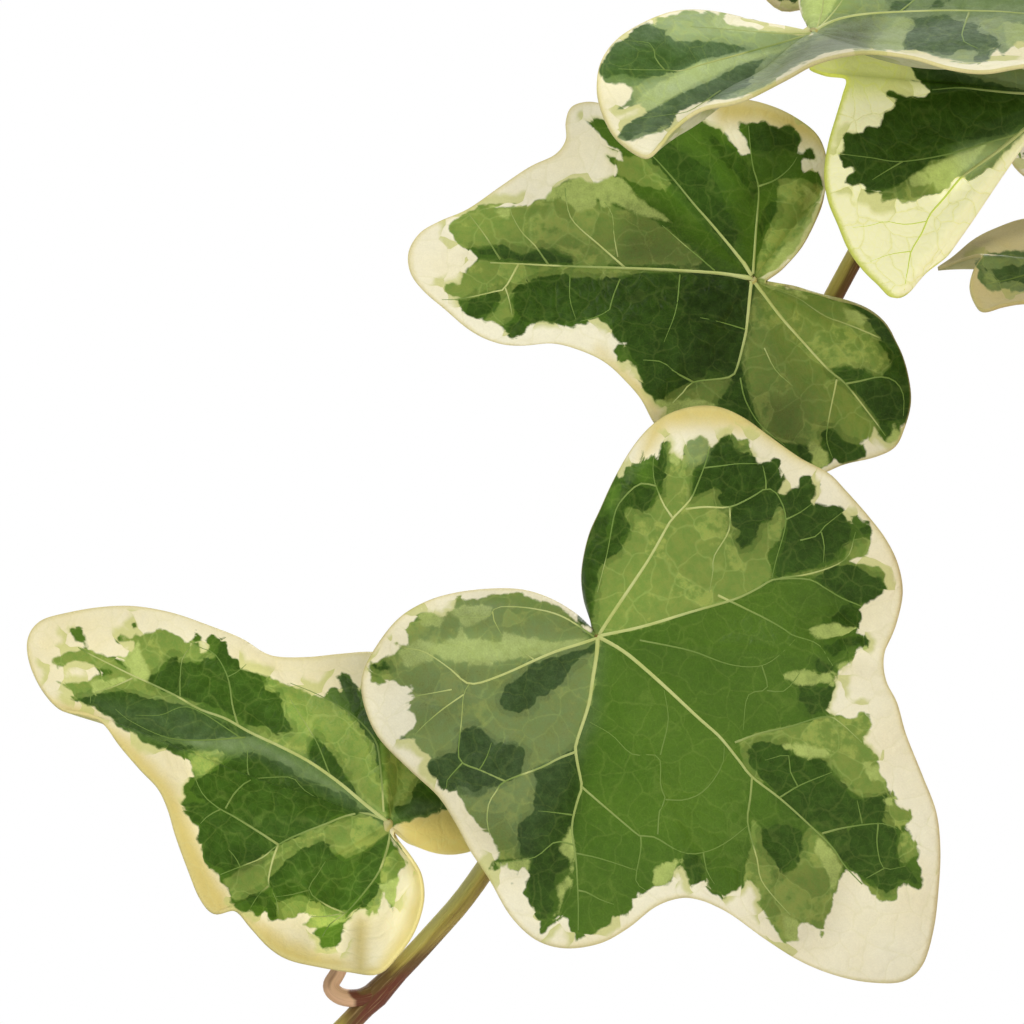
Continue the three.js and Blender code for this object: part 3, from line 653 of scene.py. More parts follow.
leafColors = paints(
    mid=(80, 112, 28), midWarm=(70, 103, 22), dark=(48, 76, 10), darkCool=(56, 86, 18), pale=(157, 171, 80),
    paleGray=(126, 152, 68), light=(170, 186, 100), halo=(196, 198, 116), cream=(238, 228, 192),
    # the lime-gold colour also paints the shade that leaf D casts on leaf E's top
    creamCool=(242, 236, 210), creamLime=(243, 240, 190), gold=(218, 196, 116), goldLime=(196, 200, 122),
    # the grey-and-sheen colours give a grey tint and also a painted sheen
    rim=(220, 204, 138), lime=(198, 204, 84), ash=(156, 170, 132), slate=(94, 114, 84), core=(128, 84, 40),
    underside=(150, 170, 112), vein=(150, 170, 80), creamVein=(216, 208, 150), limeVein=(196, 210, 92),
    veinThin=(112, 140, 60), veinMain=(186, 194, 112), veinPale=(200, 206, 134),
)
# Sheet is the place on the leaf in mm. Green to Gold are how far inside each zone it lies, Rim how far from
# the margin and Core from the root; the others are a leaf's lightness, its own and painted light and shade together,
# its raggedness, its lime tint, and its grey tint with a painted sheen.
leafFields = ("Green", "Dark", "Pale", "Light", "Gold", "Rim", "Core", "Tone", "Jag", "Lime", "Ash")
usualFields = {"Rim": 5.0, "Core": 5.0, "Jag": 1.0}
netScale, fineNetScale, scallopScale = 0.36, 1.25, 1.15  # cells to each mm
grainScales = ((0.55, 4.0), (2.4, 3.0), (0.09, 2.0), (1.1, 5.0), (6.5, 2.0))  # noise to each mm, and its detail


def buildLeafPattern():
    inputs = [("Sheet", "Vector", None), *((label, "Float", usualFields.get(label, 0.0)) for label in leafFields)]
    outputs = [("Color", "Color"), ("Height", "Float"), ("Gloss", "Float"), ("Glow", "Color")]
    group, given, result = startGroup("leafPattern", inputs, outputs)
    add, times, less = (partial(calc, group, kind) for kind in ("ADD", "MULTIPLY", "SUBTRACT"))
    step, mix = partial(remap, group), partial(mixColors, group)
    c, lime = leafColors, given["Lime"]

    def centred(value, amount):
        return times(less(value, 0.5), amount)

    # the net of small veins, and the patches between them that take a tone each
    sheet = given["Sheet"]
    drift = vectorCalc(group, "SCALE", {0: noiseAt(group, sheet, 0.3, 2.0, "Color"), 3: 2.4})
    netPlace = vectorCalc(group, "ADD", {0: sheet, 1: drift})
    patch = addNode(group, "ShaderNodeSeparateColor", {0: cellsAt(group, netPlace, netScale, output="Color")}).outputs
    coarse, fine, broad, mottle, speck = (noiseAt(group, sheet, scale, detail) for scale, detail in grainScales)
    cellEdge, fineEdge = (cellsAt(group, netPlace, scale, "DISTANCE_TO_EDGE") for scale in (netScale, fineNetScale))
    net = step(add(cellEdge, centred(fine, 0.03)), 0.0, 0.05, 1.0, 0.0)
    fineNet = step(fineEdge, 0.0, 0.08, 1.0, 0.0)

    # scalloped, vein-bound borders
    scallop = times(less(0.4, cellsAt(group, sheet, scallopScale)), 0.8)
    jitter = add(scallop, add(centred(coarse, 0.7), add(centred(fine, 0.4), centred(speck, 0.25))))
    jitter = times(add(jitter, centred(patch["Red"], 0.7)), given["Jag"])
    edge = add(given["Green"], jitter)
    green = step(edge, -0.11, 0.13)
    halo = step(add(edge, times(less(patch["Green"], 0.62), 3.6)), -0.3, 0.4)
    dark = step(add(given["Dark"], times(jitter, 1.15)), -0.09, 0.11)
    middle = step(add(given["Dark"], add(times(jitter, 1.3), 0.55)), -0.08, 0.12)
    pale = step(add(given["Pale"], add(jitter, 0.3)), -0.12, 0.16)
    light = step(add(given["Light"], add(jitter, 0.1)), -0.15, 0.2)

    # the greens, with a grey tint and a painted sheen laid over them where the grey-and-sheen field says
    paleColor = mix(step(add(mottle, centred(speck, 0.7)), 0.3, 0.7), c["pale"], c["paleGray"])
    blotch = step(add(patch["Blue"], centred(add(mottle, coarse), 0.9)), 0.5, 0.78, 0.0, 0.38)
    paleNet = times(pale, less(1.0, dark))
    netTint = mix(paleNet, c["vein"], c["light"])
    greens = coated(
        group, mix(step(broad, 0.35, 0.65), c["mid"], c["midWarm"]),
        (pale, mix(blotch, paleColor, c["midWarm"])), (times(middle, 0.35), c["darkCool"]),
        (dark, mix(step(mottle, 0.35, 0.65), c["dark"], c["darkCool"])),
        (times(light, step(coarse, 0.2, 0.6, 0.6, 1.0)), c["light"]),
        (times(given["Ash"], step(coarse, 0.25, 0.75, 0.6, 1.0)),
         mix(times(dark, step(fine, 0.3, 0.7, 0.8, 1.0)), c["ash"], c["slate"])),
        (times(net, add(0.1, times(paleNet, 0.15))), netTint), (times(fineNet, 0.05), netTint))

    # the cream edge, the rim and the root
    rimColor = mix(lime, c["rim"], c["lime"])
    rimMask = times(step(add(given["Rim"], centred(fine, 0.3)), 0.05, 0.6, 1.0, 0.0), add(0.4, times(lime, 0.5)))
    color = coated(
        group, mix(step(broad, 0.3, 0.7), c["cream"], c["creamCool"]), (lime, c["creamLime"]),
        (step(add(given["Gold"], centred(coarse, 0.8)), -1.4, 1.4), mix(lime, c["gold"], c["goldLime"])),
        (times(add(net, times(fineNet, 0.3)), add(0.14, times(lime, 0.2))), mix(lime, c["creamVein"], c["lime"])),
        (rimMask, rimColor), (times(halo, 0.75), c["halo"]), (green, greens),
        (times(step(given["Rim"], 0.02, 0.2, 1.0, 0.0), 0.5), rimColor),
        (step(add(given["Core"], centred(fine, 0.4)), 0.1, 0.55, 0.9, 0.0), c["core"]))
    # The colour is lightened or darkened by the lightness field, partly the leaf's own variation and partly painted
    # light and shade, and by a fine grain.
    grain = add(centred(mottle, 0.36), centred(speck, 0.5))
    level = add(times(given["Tone"], step(green, 0.0, 1.0, 0.6, 1.0)), times(grain, step(green, 0.0, 1.0, 0.3, 1.0)))
    level = calc(group, "MAXIMUM", add(1.0, level), 0.1)
    shade = addNode(group, "ShaderNodeCombineColor", {0: level, 1: level, 2: level}).outputs[0]
    color = mix(1.0, color, shade, "MULTIPLY")
    lift = add(times(step(cellEdge, 0.0, 0.2), 0.7), times(step(fineEdge, 0.0, 0.3), 0.3))
    # Painted backlight: the cream of a lime leaf gives off a little light, as if lit through from behind.
    glow = times(calc(group, "GREATER_THAN", lime, 0.8), times(less(1.0, green), 0.22))
    feed(group, result, Color=color, Height=add(lift, times(mottle, 0.6)),
         Gloss=add(times(green, 0.4), times(fine, 0.3)), Glow=mix(glow, (0, 0, 0, 1), color))
    return group


leafPattern = buildLeafPattern()


def buildLeaf(name, under, roughness, bump, specular=0.24):
    material, tree, shader = startMaterial(name, Specular_IOR_Level=specular, Emission_Strength=1.0)
    fields = {label: readField(tree, label.lower()) for label in leafFields}
    made = placeGroup(tree, leafPattern, Sheet=readField(tree, "sheet", "Vector"), **fields)
    # The emission carries the pattern's painted backlight.
    feed(tree, shader, Base_Color=mixColors(tree, under, made["Color"], leafColors["underside"]),
         Roughness=remap(tree, made["Gloss"], 0.0, 0.7, roughness + 0.1, roughness), Emission_Color=made["Glow"])
    addBump(tree, shader, made["Height"], bump)
    return material


leafUpper = buildLeaf("ivy_blade", 0.0, 0.4, 0.05)
leafMatt = buildLeaf("ivy_blade_matt", 0.0, 0.55, 0.05, 0.1)
leafUnder = buildLeaf("ivy_blade_underside", 0.45, 0.66, 0.08)


def buildVein():  # the warm field runs from a fine green vein at 0 over a pale main one to a lime one at 1
    material, tree, shader = startMaterial("ivy_vein", Specular_IOR_Level=0.3, Roughness=0.5, Emission_Strength=1.0)
    step, mix = partial(remap, tree), partial(mixColors, tree)
    c, place, warm = leafColors, objectPlace(tree), readField(tree, "warm")
    color = mix(step(noiseAt(tree, place, 400.0), 0.3, 0.7), c["veinMain"], c["veinPale"])
    color = coated(tree, c["veinThin"], (step(warm, 0.0, 0.5), color), (step(warm, 0.5, 1.0), c["limeVein"]))
    # The lime veins give off a little light, a painted backlight like that of a lime leaf's cream.
    feed(tree, shader, Base_Color=color, Emission_Color=mix(step(warm, 0.6, 1.0, 0.0, 0.3), (0, 0, 0, 1), color))
    addBump(tree, shader, noiseAt(tree, place, 2500.0), 0.02)
    return material


stemColors = paints(green=(212, 202, 114), olive=(200, 181, 90), brown=(116, 89, 48), red=(112, 60, 40),
                    tan=(204, 176, 122), pale=(208, 202, 138), pink=(232, 188, 150))


def buildStem():
    # The warm field runs from a pale green young stalk at 0 to an old red-brown stem at 1, and on to a pink one
    material, tree, shader = startMaterial("ivy_stem", Specular_IOR_Level=0.35)
    step, add, times = partial(remap, tree), partial(calc, tree, "ADD"), partial(calc, tree, "MULTIPLY")
    grain, warm = readField(tree, "grain", "Vector"), readField(tree, "warm")
    long = vectorCalc(tree, "MULTIPLY", {0: grain, 1: (1.0, 3.0, 3.0)})
    streak, broad = noiseAt(tree, long, 2.2, 4.0), noiseAt(tree, grain, 0.9, 2.0)
    normal = addNode(tree, "ShaderNodeNewGeometry").outputs["Normal"]
    # Painted light and shade: the side turned to the key light is coloured younger, paler and greener, and the side
    # away from it older and redder.
    facing = vectorCalc(tree, "DOT_PRODUCT", {0: normal, 1: (-0.6, -0.45, 0.66)}, "Value")
    age = add(add(warm, step(facing, 0.1, 0.75, 0.22, -0.32)), times(calc(tree, "SUBTRACT", broad, 0.5), 0.7))
    c = stemColors
    color = coated(tree, c["pale"], (step(age, 0.0, 0.3), c["green"]), (step(age, 0.25, 0.6), c["olive"]),
                   (step(age, 0.5, 0.95), c["brown"]), (step(age, 1.0, 1.4), c["red"]),
                   (step(age, 1.9, 2.3), c["pink"]), (times(step(streak, 0.5, 0.75), 0.4), c["tan"]),
                   (times(step(streak, 0.5, 0.2), 0.35), c["red"]))
    feed(tree, shader, Base_Color=color, Roughness=step(streak, 0.2, 0.8, 0.45, 0.65))
    addBump(tree, shader, streak, 0.12)
    return material


leafVein, stemBark = buildVein(), buildStem()


def buildClay():
    material, tree, shader = startMaterial("fired_clay", Specular_IOR_Level=0.25)
    step, add, times = partial(remap, tree), partial(calc, tree, "ADD"), partial(calc, tree, "MULTIPLY")
    place = objectPlace(tree)
    turned = vectorCalc(tree, "MULTIPLY", {0: place, 1: (30.0, 30.0, 900.0)})
    lines, cloud = noiseAt(tree, turned, 1.0, 2.0), noiseAt(tree, place, 26.0, 5.0)
    speck, grit, chalk = (noiseAt(tree, place, *grade) for grade in ((700.0, 3.0), (2200.0, 2.0), (60.0, 6.0)))
    height = addNode(tree, "ShaderNodeSeparateXYZ", {0: place}).outputs["Z"]
    bloom = add(add(step(height, 0.03, 0.0, 0.0, 0.35), step(height, 0.07, 0.1, 0.0, 0.22)), 0.2)
    color = coated(tree, paint(186, 112, 74), (step(cloud, 0.3, 0.7), paint(204, 134, 94)),
                   (times(step(speck, 0.58, 0.72), 0.5), paint(150, 84, 54)),
                   (times(step(lines, 0.4, 0.7), 0.18), paint(222, 164, 124)),
                   (times(bloom, step(chalk, 0.48, 0.66)), paint(232, 220, 204)))
    feed(tree, shader, Base_Color=color, Roughness=step(cloud, 0.2, 0.8, 0.8, 0.92))
    addBump(tree, shader, add(times(lines, 0.6), times(grit, 0.4)), 0.25)
    return material


def buildSoil(name, dark, light):
    material, tree, shader = startMaterial(name, Specular_IOR_Level=0.2)
    place, step = objectPlace(tree), partial(remap, tree)
    fleck, crumb = noiseAt(tree, place, 420.0, 6.0), noiseAt(tree, place, 1500.0, 4.0)
    color = coated(tree, dark, (step(fleck, 0.35, 0.68), light),
                   (calc(tree, "MULTIPLY", step(crumb, 0.55, 0.7), 0.5), dark))
    feed(tree, shader, Base_Color=color, Roughness=step(crumb, 0.3, 0.7, 0.82, 0.98))
    addBump(tree, shader, crumb, 0.6)
    return material


clay = buildClay()
pottingSoil = buildSoil("potting_mix", paint(44, 32, 22), paint(96, 70, 48))
paleGrain = buildSoil("pumice_grain", paint(196, 188, 174), paint(236, 232, 222))
print("materials built")


# ---- leaves and veins

bladeSettings = {
    "thickness": 0.36, "viewSteps": 6, "viewRows": 72, "ruleSteps": 5, "ruleRows": 12, "rimShare": 0.85,
    "pucker": 0.28, "puckerWidth": 2.2, "rimDroop": 0.24, "rimWidth": 1.4, "ripple": 0.5, "rippleScale": 0.11,
    "veinStep": 0.7, "veinRadius": 0.658, "veinSink": 0.428, "puckerVein": 0.3, "farOutside": -9.0,
    "rulePucker": 0.008, "rulePuckerWidth": 0.06,
}


def relief(places, scale, seed):  # smooth noise from -1 to 1 at places in mm
    return np.reshape([noise.noise(Vector(place) * scale + Vector((seed, 0, 0))) for place in places.reshape(-1, 3)],
                      places.shape[:-1])


def viewFields(marks, picture, rings, root, rim, index):
    # The picture places decide the zones, and the leaf's own plane carries the fine pattern
    flat, outside, even = picture.reshape(-1, 2), bladeSettings["farOutside"], np.ones(rim.shape)

    def zone(outlines):
        if not outlines:
            return outside * even
        return insideAny(flat, outlines).reshape(rim.shape) * viewSettings["pointSize"]

    def wash(kind, value):
        for amount, softness, outline in marks.get(kind, ()):
            inside = np.clip(zone([outline]) / softness + 0.5, 0, 1)
            value = value + amount * inside * inside * (3 - 2 * inside)
        return value
    fields = {kind: zone(marks.get(kind)) for kind in ("green", "dark", "pale", "light", "gold")}
    if "cuts" in marks:
        fields["green"] = np.minimum(fields["green"], -zone(marks["cuts"]))
    fields["gold"] = np.maximum(fields["gold"], marks.get("goldBase", outside))
    local = rings - root
    normal = unit(np.cross(local[0], np.roll(local[0], -1, axis=0)).sum(axis=0))
    forward = unit(local[0, 0])
    forward = unit(forward - normal * (forward @ normal))
    sheet = np.stack([local @ forward + 61.0 * index, local @ np.cross(normal, forward), local @ normal], axis=2)
    # The lightness field takes the shade washes, partly painted light and shade, and the grey field takes the grey
    # washes, partly a painted sheen.
    return {**fields, "rim": rim, "core": np.linalg.norm(local, axis=2), "sheet": sheet,
            "tone": wash("shade", 0 * even), "ash": wash("ash", marks.get("dull", 0.0) * even),
            "jag": marks.get("jag", 1.0) * even, "lime": marks.get("lime", 0.12) * even}


def buildViewLeaf(name, index):
    leaf, marks, s = viewLeaves[name], viewMarks[name], bladeSettings
    shares = np.linspace(1, 0, s["viewRows"] + 1)
    root, rings, normal = viewLeaf(leaf, shares, s["viewSteps"])
    if normal[1] > 0:  # the upper side is the one that the viewer sees
        rings, normal = rings[:, ::-1], -normal
    rim = (1 - shares)[:, None] * np.linalg.norm(rings[0] - root, axis=1) * s["rimShare"]
    flat = toView(rings).reshape(-1, 2)
    mains = [lineDistance(flat, line) for width, line in marks["veins"] if width >= s["puckerVein"]]
    nearVein = np.min(mains, axis=0).reshape(rim.shape) * viewSettings["pointSize"]
    puff = s["pucker"] * (1 - np.exp(-(nearVein / s["puckerWidth"]) ** 2)) * np.minimum(1, rim / 4)
    droop = s["rimDroop"] * np.exp(-rim / s["rimWidth"])
    ripple = relief(rings, s["rippleScale"], index * 17.0) * s["ripple"] * np.minimum(1, rim / 3)
    lifted = rings + normal * (puff - droop + ripple)[:, :, None]
    lifted[-1] = lifted[-1].mean(axis=0)
    picture = toView(lifted + normal * s["thickness"] / 2)
    mesh = sheetMesh(lifted, viewFields(marks, picture, rings, root, rim, index))
    veins = viewVeins(mesh, marks)
    makeBlades(f"trailing_leaf_{name[-1].lower()}", [mesh], upper=leafMatt if name == "leafD" else leafUpper)
    return veins


def veinTube(points, widths, lime=0.0, pale=0.0):  # thin tubes sunk in the blade, their tops just above it
    warm = np.clip((widths - 0.13) / 0.5 + pale, 0.05, 0.5)
    return {"points": points, "radii": widths * bladeSettings["veinRadius"], "warm": warm + (1 - warm) * lime}


def viewVeins(mesh, marks):
    sheet = bmesh.new()
    sheet.from_mesh(mesh)
    tree = BVHTree.FromBMesh(sheet)
    sheet.free()
    eye = np.array([viewSettings["x"], -viewSettings["distance"], viewSettings["z"]])
    tubes = []
    for width, line in marks["veins"]:
        path = smoothPath(np.reshape(line, (-1, 2)), 8)
        span = runLengths(path) * viewSettings["pointSize"]
        count = max(3, int(span[-1] / bladeSettings["veinStep"]))
        path = pointsAt(span, path, np.linspace(0, span[-1], count + 1))
        onGreen, onDark, onPale = (insideAny(path, marks[kind]) > 0 for kind in ("green", "dark", "pale"))
        points, widths, used = [], [], []
        for k, (px, py) in enumerate(path):
            ray = unit(fromView((px, py, 0))[0] - eye)
            hit, normal, face, distance = tree.ray_cast(Vector(eye * mm), Vector(ray))
            if hit is None:
                continue
            local = width * (0.9 - 0.66 * k / count) * (1.0 if onGreen[k] else 0.8) + 0.02
            outward = np.array(normal) * (-1 if normal.dot(Vector(ray)) > 0 else 1)
            sunk = bladeSettings["thickness"] / 2 - bladeSettings["veinSink"] * local
            points.append(np.array(hit) / mm + outward * sunk)
            widths.append(local)
            used.append(k)
        if len(points) > 2:
            lime = np.where(onGreen[used], 0.0, marks.get("lime", 0.0))
            tubes.append(veinTube(np.array(points), np.array(widths), lime, 0.3 * (onPale & ~onDark)[used]))
    return tubes


def ruleMargin(draw):  # the rule's margin points joined smoothly, each leaf a little its own way
    turns = (*lobeReach, *((-angle, reach) for angle, reach in lobeReach[-2:0:-1]))
    angles, reaches = np.array([(angle, reach * (0.965 + 0.07 * draw())) for angle, reach in turns]).T
    points = np.stack([reaches * np.cos(np.radians(angles)), reaches * np.sin(np.radians(angles))], axis=1)
    return smoothPath(points, bladeSettings["ruleSteps"], closed=True)


mainVeins = (0, 62, -62, 122, -122)  # their directions in degrees from the midrib
# the main vein that each side vein leaves, how far along it, and the angle between them
sideVeins = ((0, 0.3, 26), (0, 0.3, -26), (0, 0.55, 18), (0, 0.55, -18), (62, 0.35, 34), (62, 0.35, -8),
             (-62, 0.35, -34), (-62, 0.35, 8))
ruleWidths = {"lobe": 0.013, "basal": 0.010, "side": 0.007}  # of the leaf's size


def buildRuleLeaf(leaf, index):
    draw, size, s = seededRandom(300 + index), leaf["size"], bladeSettings
    margin = ruleMargin(draw)
    shares = np.linspace(1, 0, s["ruleRows"] + 1)
    x, y = margin[:, 0] * shares[:, None], margin[:, 1] * shares[:, None]
    angle, reach, share = np.arctan2(y, x), np.hypot(x, y), np.broadcast_to(shares[:, None], x.shape)
    turns = [angle - math.radians(way) for way in mainVeins]
    nearVein = np.min([np.abs(np.sin(turn)) * reach + (np.cos(turn) < 0) for turn in turns], axis=0)
    rim = (1 - share) * np.hypot(margin[:, 0], margin[:, 1]) * size * s["rimShare"]
    puff = s["rulePucker"] * (1 - np.exp(-(nearVein / s["rulePuckerWidth"]) ** 2)) * np.minimum(1, rim / 3)
    places = leafPlace(leaf, x, y, leafLift(leaf, x, y, angle, share) + puff)
    places[-1] = leaf["root"]
    turn = 2 * math.pi * draw()
    swing = np.sin(3 * angle + turn) + 0.7 * np.sin(7 * angle + 2 * turn) + 0.5 * np.sin(11 * angle + 5 * turn)
    width = size * (0.085 + 0.03 * draw()) + size * 0.022 * swing
    flat, even = np.stack([x * size, y * size, x * 0], axis=2), np.ones(x.shape)
    cloud, blot = relief(flat, 0.13, 40.0 + index * 9.1), relief(flat, 0.09, 90.0 + index * 5.3)
    fields = {
        "green": rim - width, "dark": cloud * 6 - 0.6, "pale": blot * 6 - 0.8,
        "light": np.minimum(blot * 6 - 2.6, 3 - rim + width), "rim": rim, "gold": cloud * 3 - 2,
        "core": reach * size, "lime": 0.4 * draw() ** 2 * even, "ash": 0.5 * draw() ** 2 * even,
        "tone": 0.16 * (draw() - 0.5) * even, "jag": 1.2 * even, "sheet": flat + (47.0 * index, 500, 0),
    }
    return sheetMesh(places, fields), ruleVeins(leaf, margin)


def ruleVeins(leaf, margin):
    reach, heading = np.hypot(*margin.T), np.arctan2(margin[:, 1], margin[:, 0])
    order = np.argsort(heading)

    def reachAt(angle):
        return np.interp(angle, heading[order], reach[order], period=2 * math.pi)

    def spot(way, distance):
        return distance * np.array([math.cos(math.radians(way)), math.sin(math.radians(way))])
    lines = []
    for way in mainVeins:
        path = np.outer(np.linspace(0.03, 1, 8), spot(way, 0.86 * reachAt(math.radians(way))))
        lines.append((ruleWidths["lobe" if abs(way) < 100 else "basal"], path))
    for way, share, branch in sideVeins:
        base = spot(way, reachAt(math.radians(way)) * share)
        lines.append((ruleWidths["side"], base + np.outer(np.linspace(0, 1, 6), spot(way + branch * 1.5, 0.3))))
    tubes = []
    for width, path in lines:
        x, y = path.T
        angle = np.arctan2(y, x)
        share = np.clip(np.hypot(x, y) / np.maximum(reachAt(angle), 1e-6), 0, 0.93)
        widths = width * leaf["size"] * np.linspace(1, 0.35, len(x)) + 0.05
        sunk = bladeSettings["thickness"] / 2 - bladeSettings["veinSink"] * widths
        points = leafPlace(leaf, x, y, leafLift(leaf, x, y, angle, share)) + leaf["normal"] * sunk[:, None]
        tubes.append(veinTube(points, widths))
    return tubes


# ---- stems and leaf stalks

stemSettings = {
    "sides": 12, "stalkSides": 8, "step": 1.6, "nodeSwell": 0.28, "nodeWidth": 1.3, "nodeWarm": 0.65,
    "warmWidth": 4.2, "stalkSteps": 6,
}
# share of the way along, and the warmth or the girth there
stalkWarm = ((0, 0.85), (0.4, 0.35), (1, 0.1))
hookWarm = ((0, 1.3), (0.13, 1.4), (0.23, 2.6), (0.8, 2.4), (0.95, 0.1), (1, 0.1))
longWarm = ((0, 0.85), (0.42, 0.85), (0.52, 0.85), (0.66, 0.45), (0.745, 0.45), (0.785, 0.75), (1, 0.7))
longRadius = ((0, 1.35), (0.2, 1.2), (0.45, 0.92), (0.62, 0.95), (0.78, 1.05), (0.86, 1.0), (0.93, 0.8), (1, 0.55))


def stemTube(line, radiusAt, warmAt, offset):
    s = stemSettings
    marks = np.linspace(0, line["total"], int(line["total"] / s["step"]) + 1)
    points = pointsAt(line["lengths"], line["points"], marks)
    radii, warm = (np.interp(marks / line["total"], *zip(*run)) for run in (radiusAt, warmAt))
    for node in line["nodes"]:
        radii = radii * (1 + s["nodeSwell"] * np.exp(-((marks - node) / s["nodeWidth"]) ** 2))
        warm = warm + s["nodeWarm"] * np.exp(-((marks - node) / s["warmWidth"]) ** 2)
    return {"points": points, "radii": radii, "warm": warm, "offset": offset}


def stalkTube(points, normal, radius, offset, warm=stalkWarm):
    points = np.asarray(points, float)
    path = smoothPath(points, stemSettings["stalkSteps"]) if len(points) > 3 else bezierPath(*points)
    path[-1] -= normal * 0.15
    share = np.linspace(0, 1, len(path))
    radii = radius * (1.25 - 0.35 * share + 0.3 * np.exp(-((share / 0.08) ** 2)))
    radii[-1] *= 0.7
    return {"points": path, "radii": radii, "warm": np.interp(share, *zip(*warm)), "offset": offset}


def ruleStalk(leaf, radius, offset):  # a broader leaf has a thicker stalk
    thick = radius * math.sqrt(leaf["size"] / 36)
    return stalkTube((leaf["node"], leaf["lean"], leaf["root"]), leaf["normal"], thick, offset)


def bezierPath(start, lean, end):
    t = np.linspace(0, 1, 9)[:, None]
    return (1 - t) ** 2 * start + 2 * t * (1 - t) * lean + t * t * end
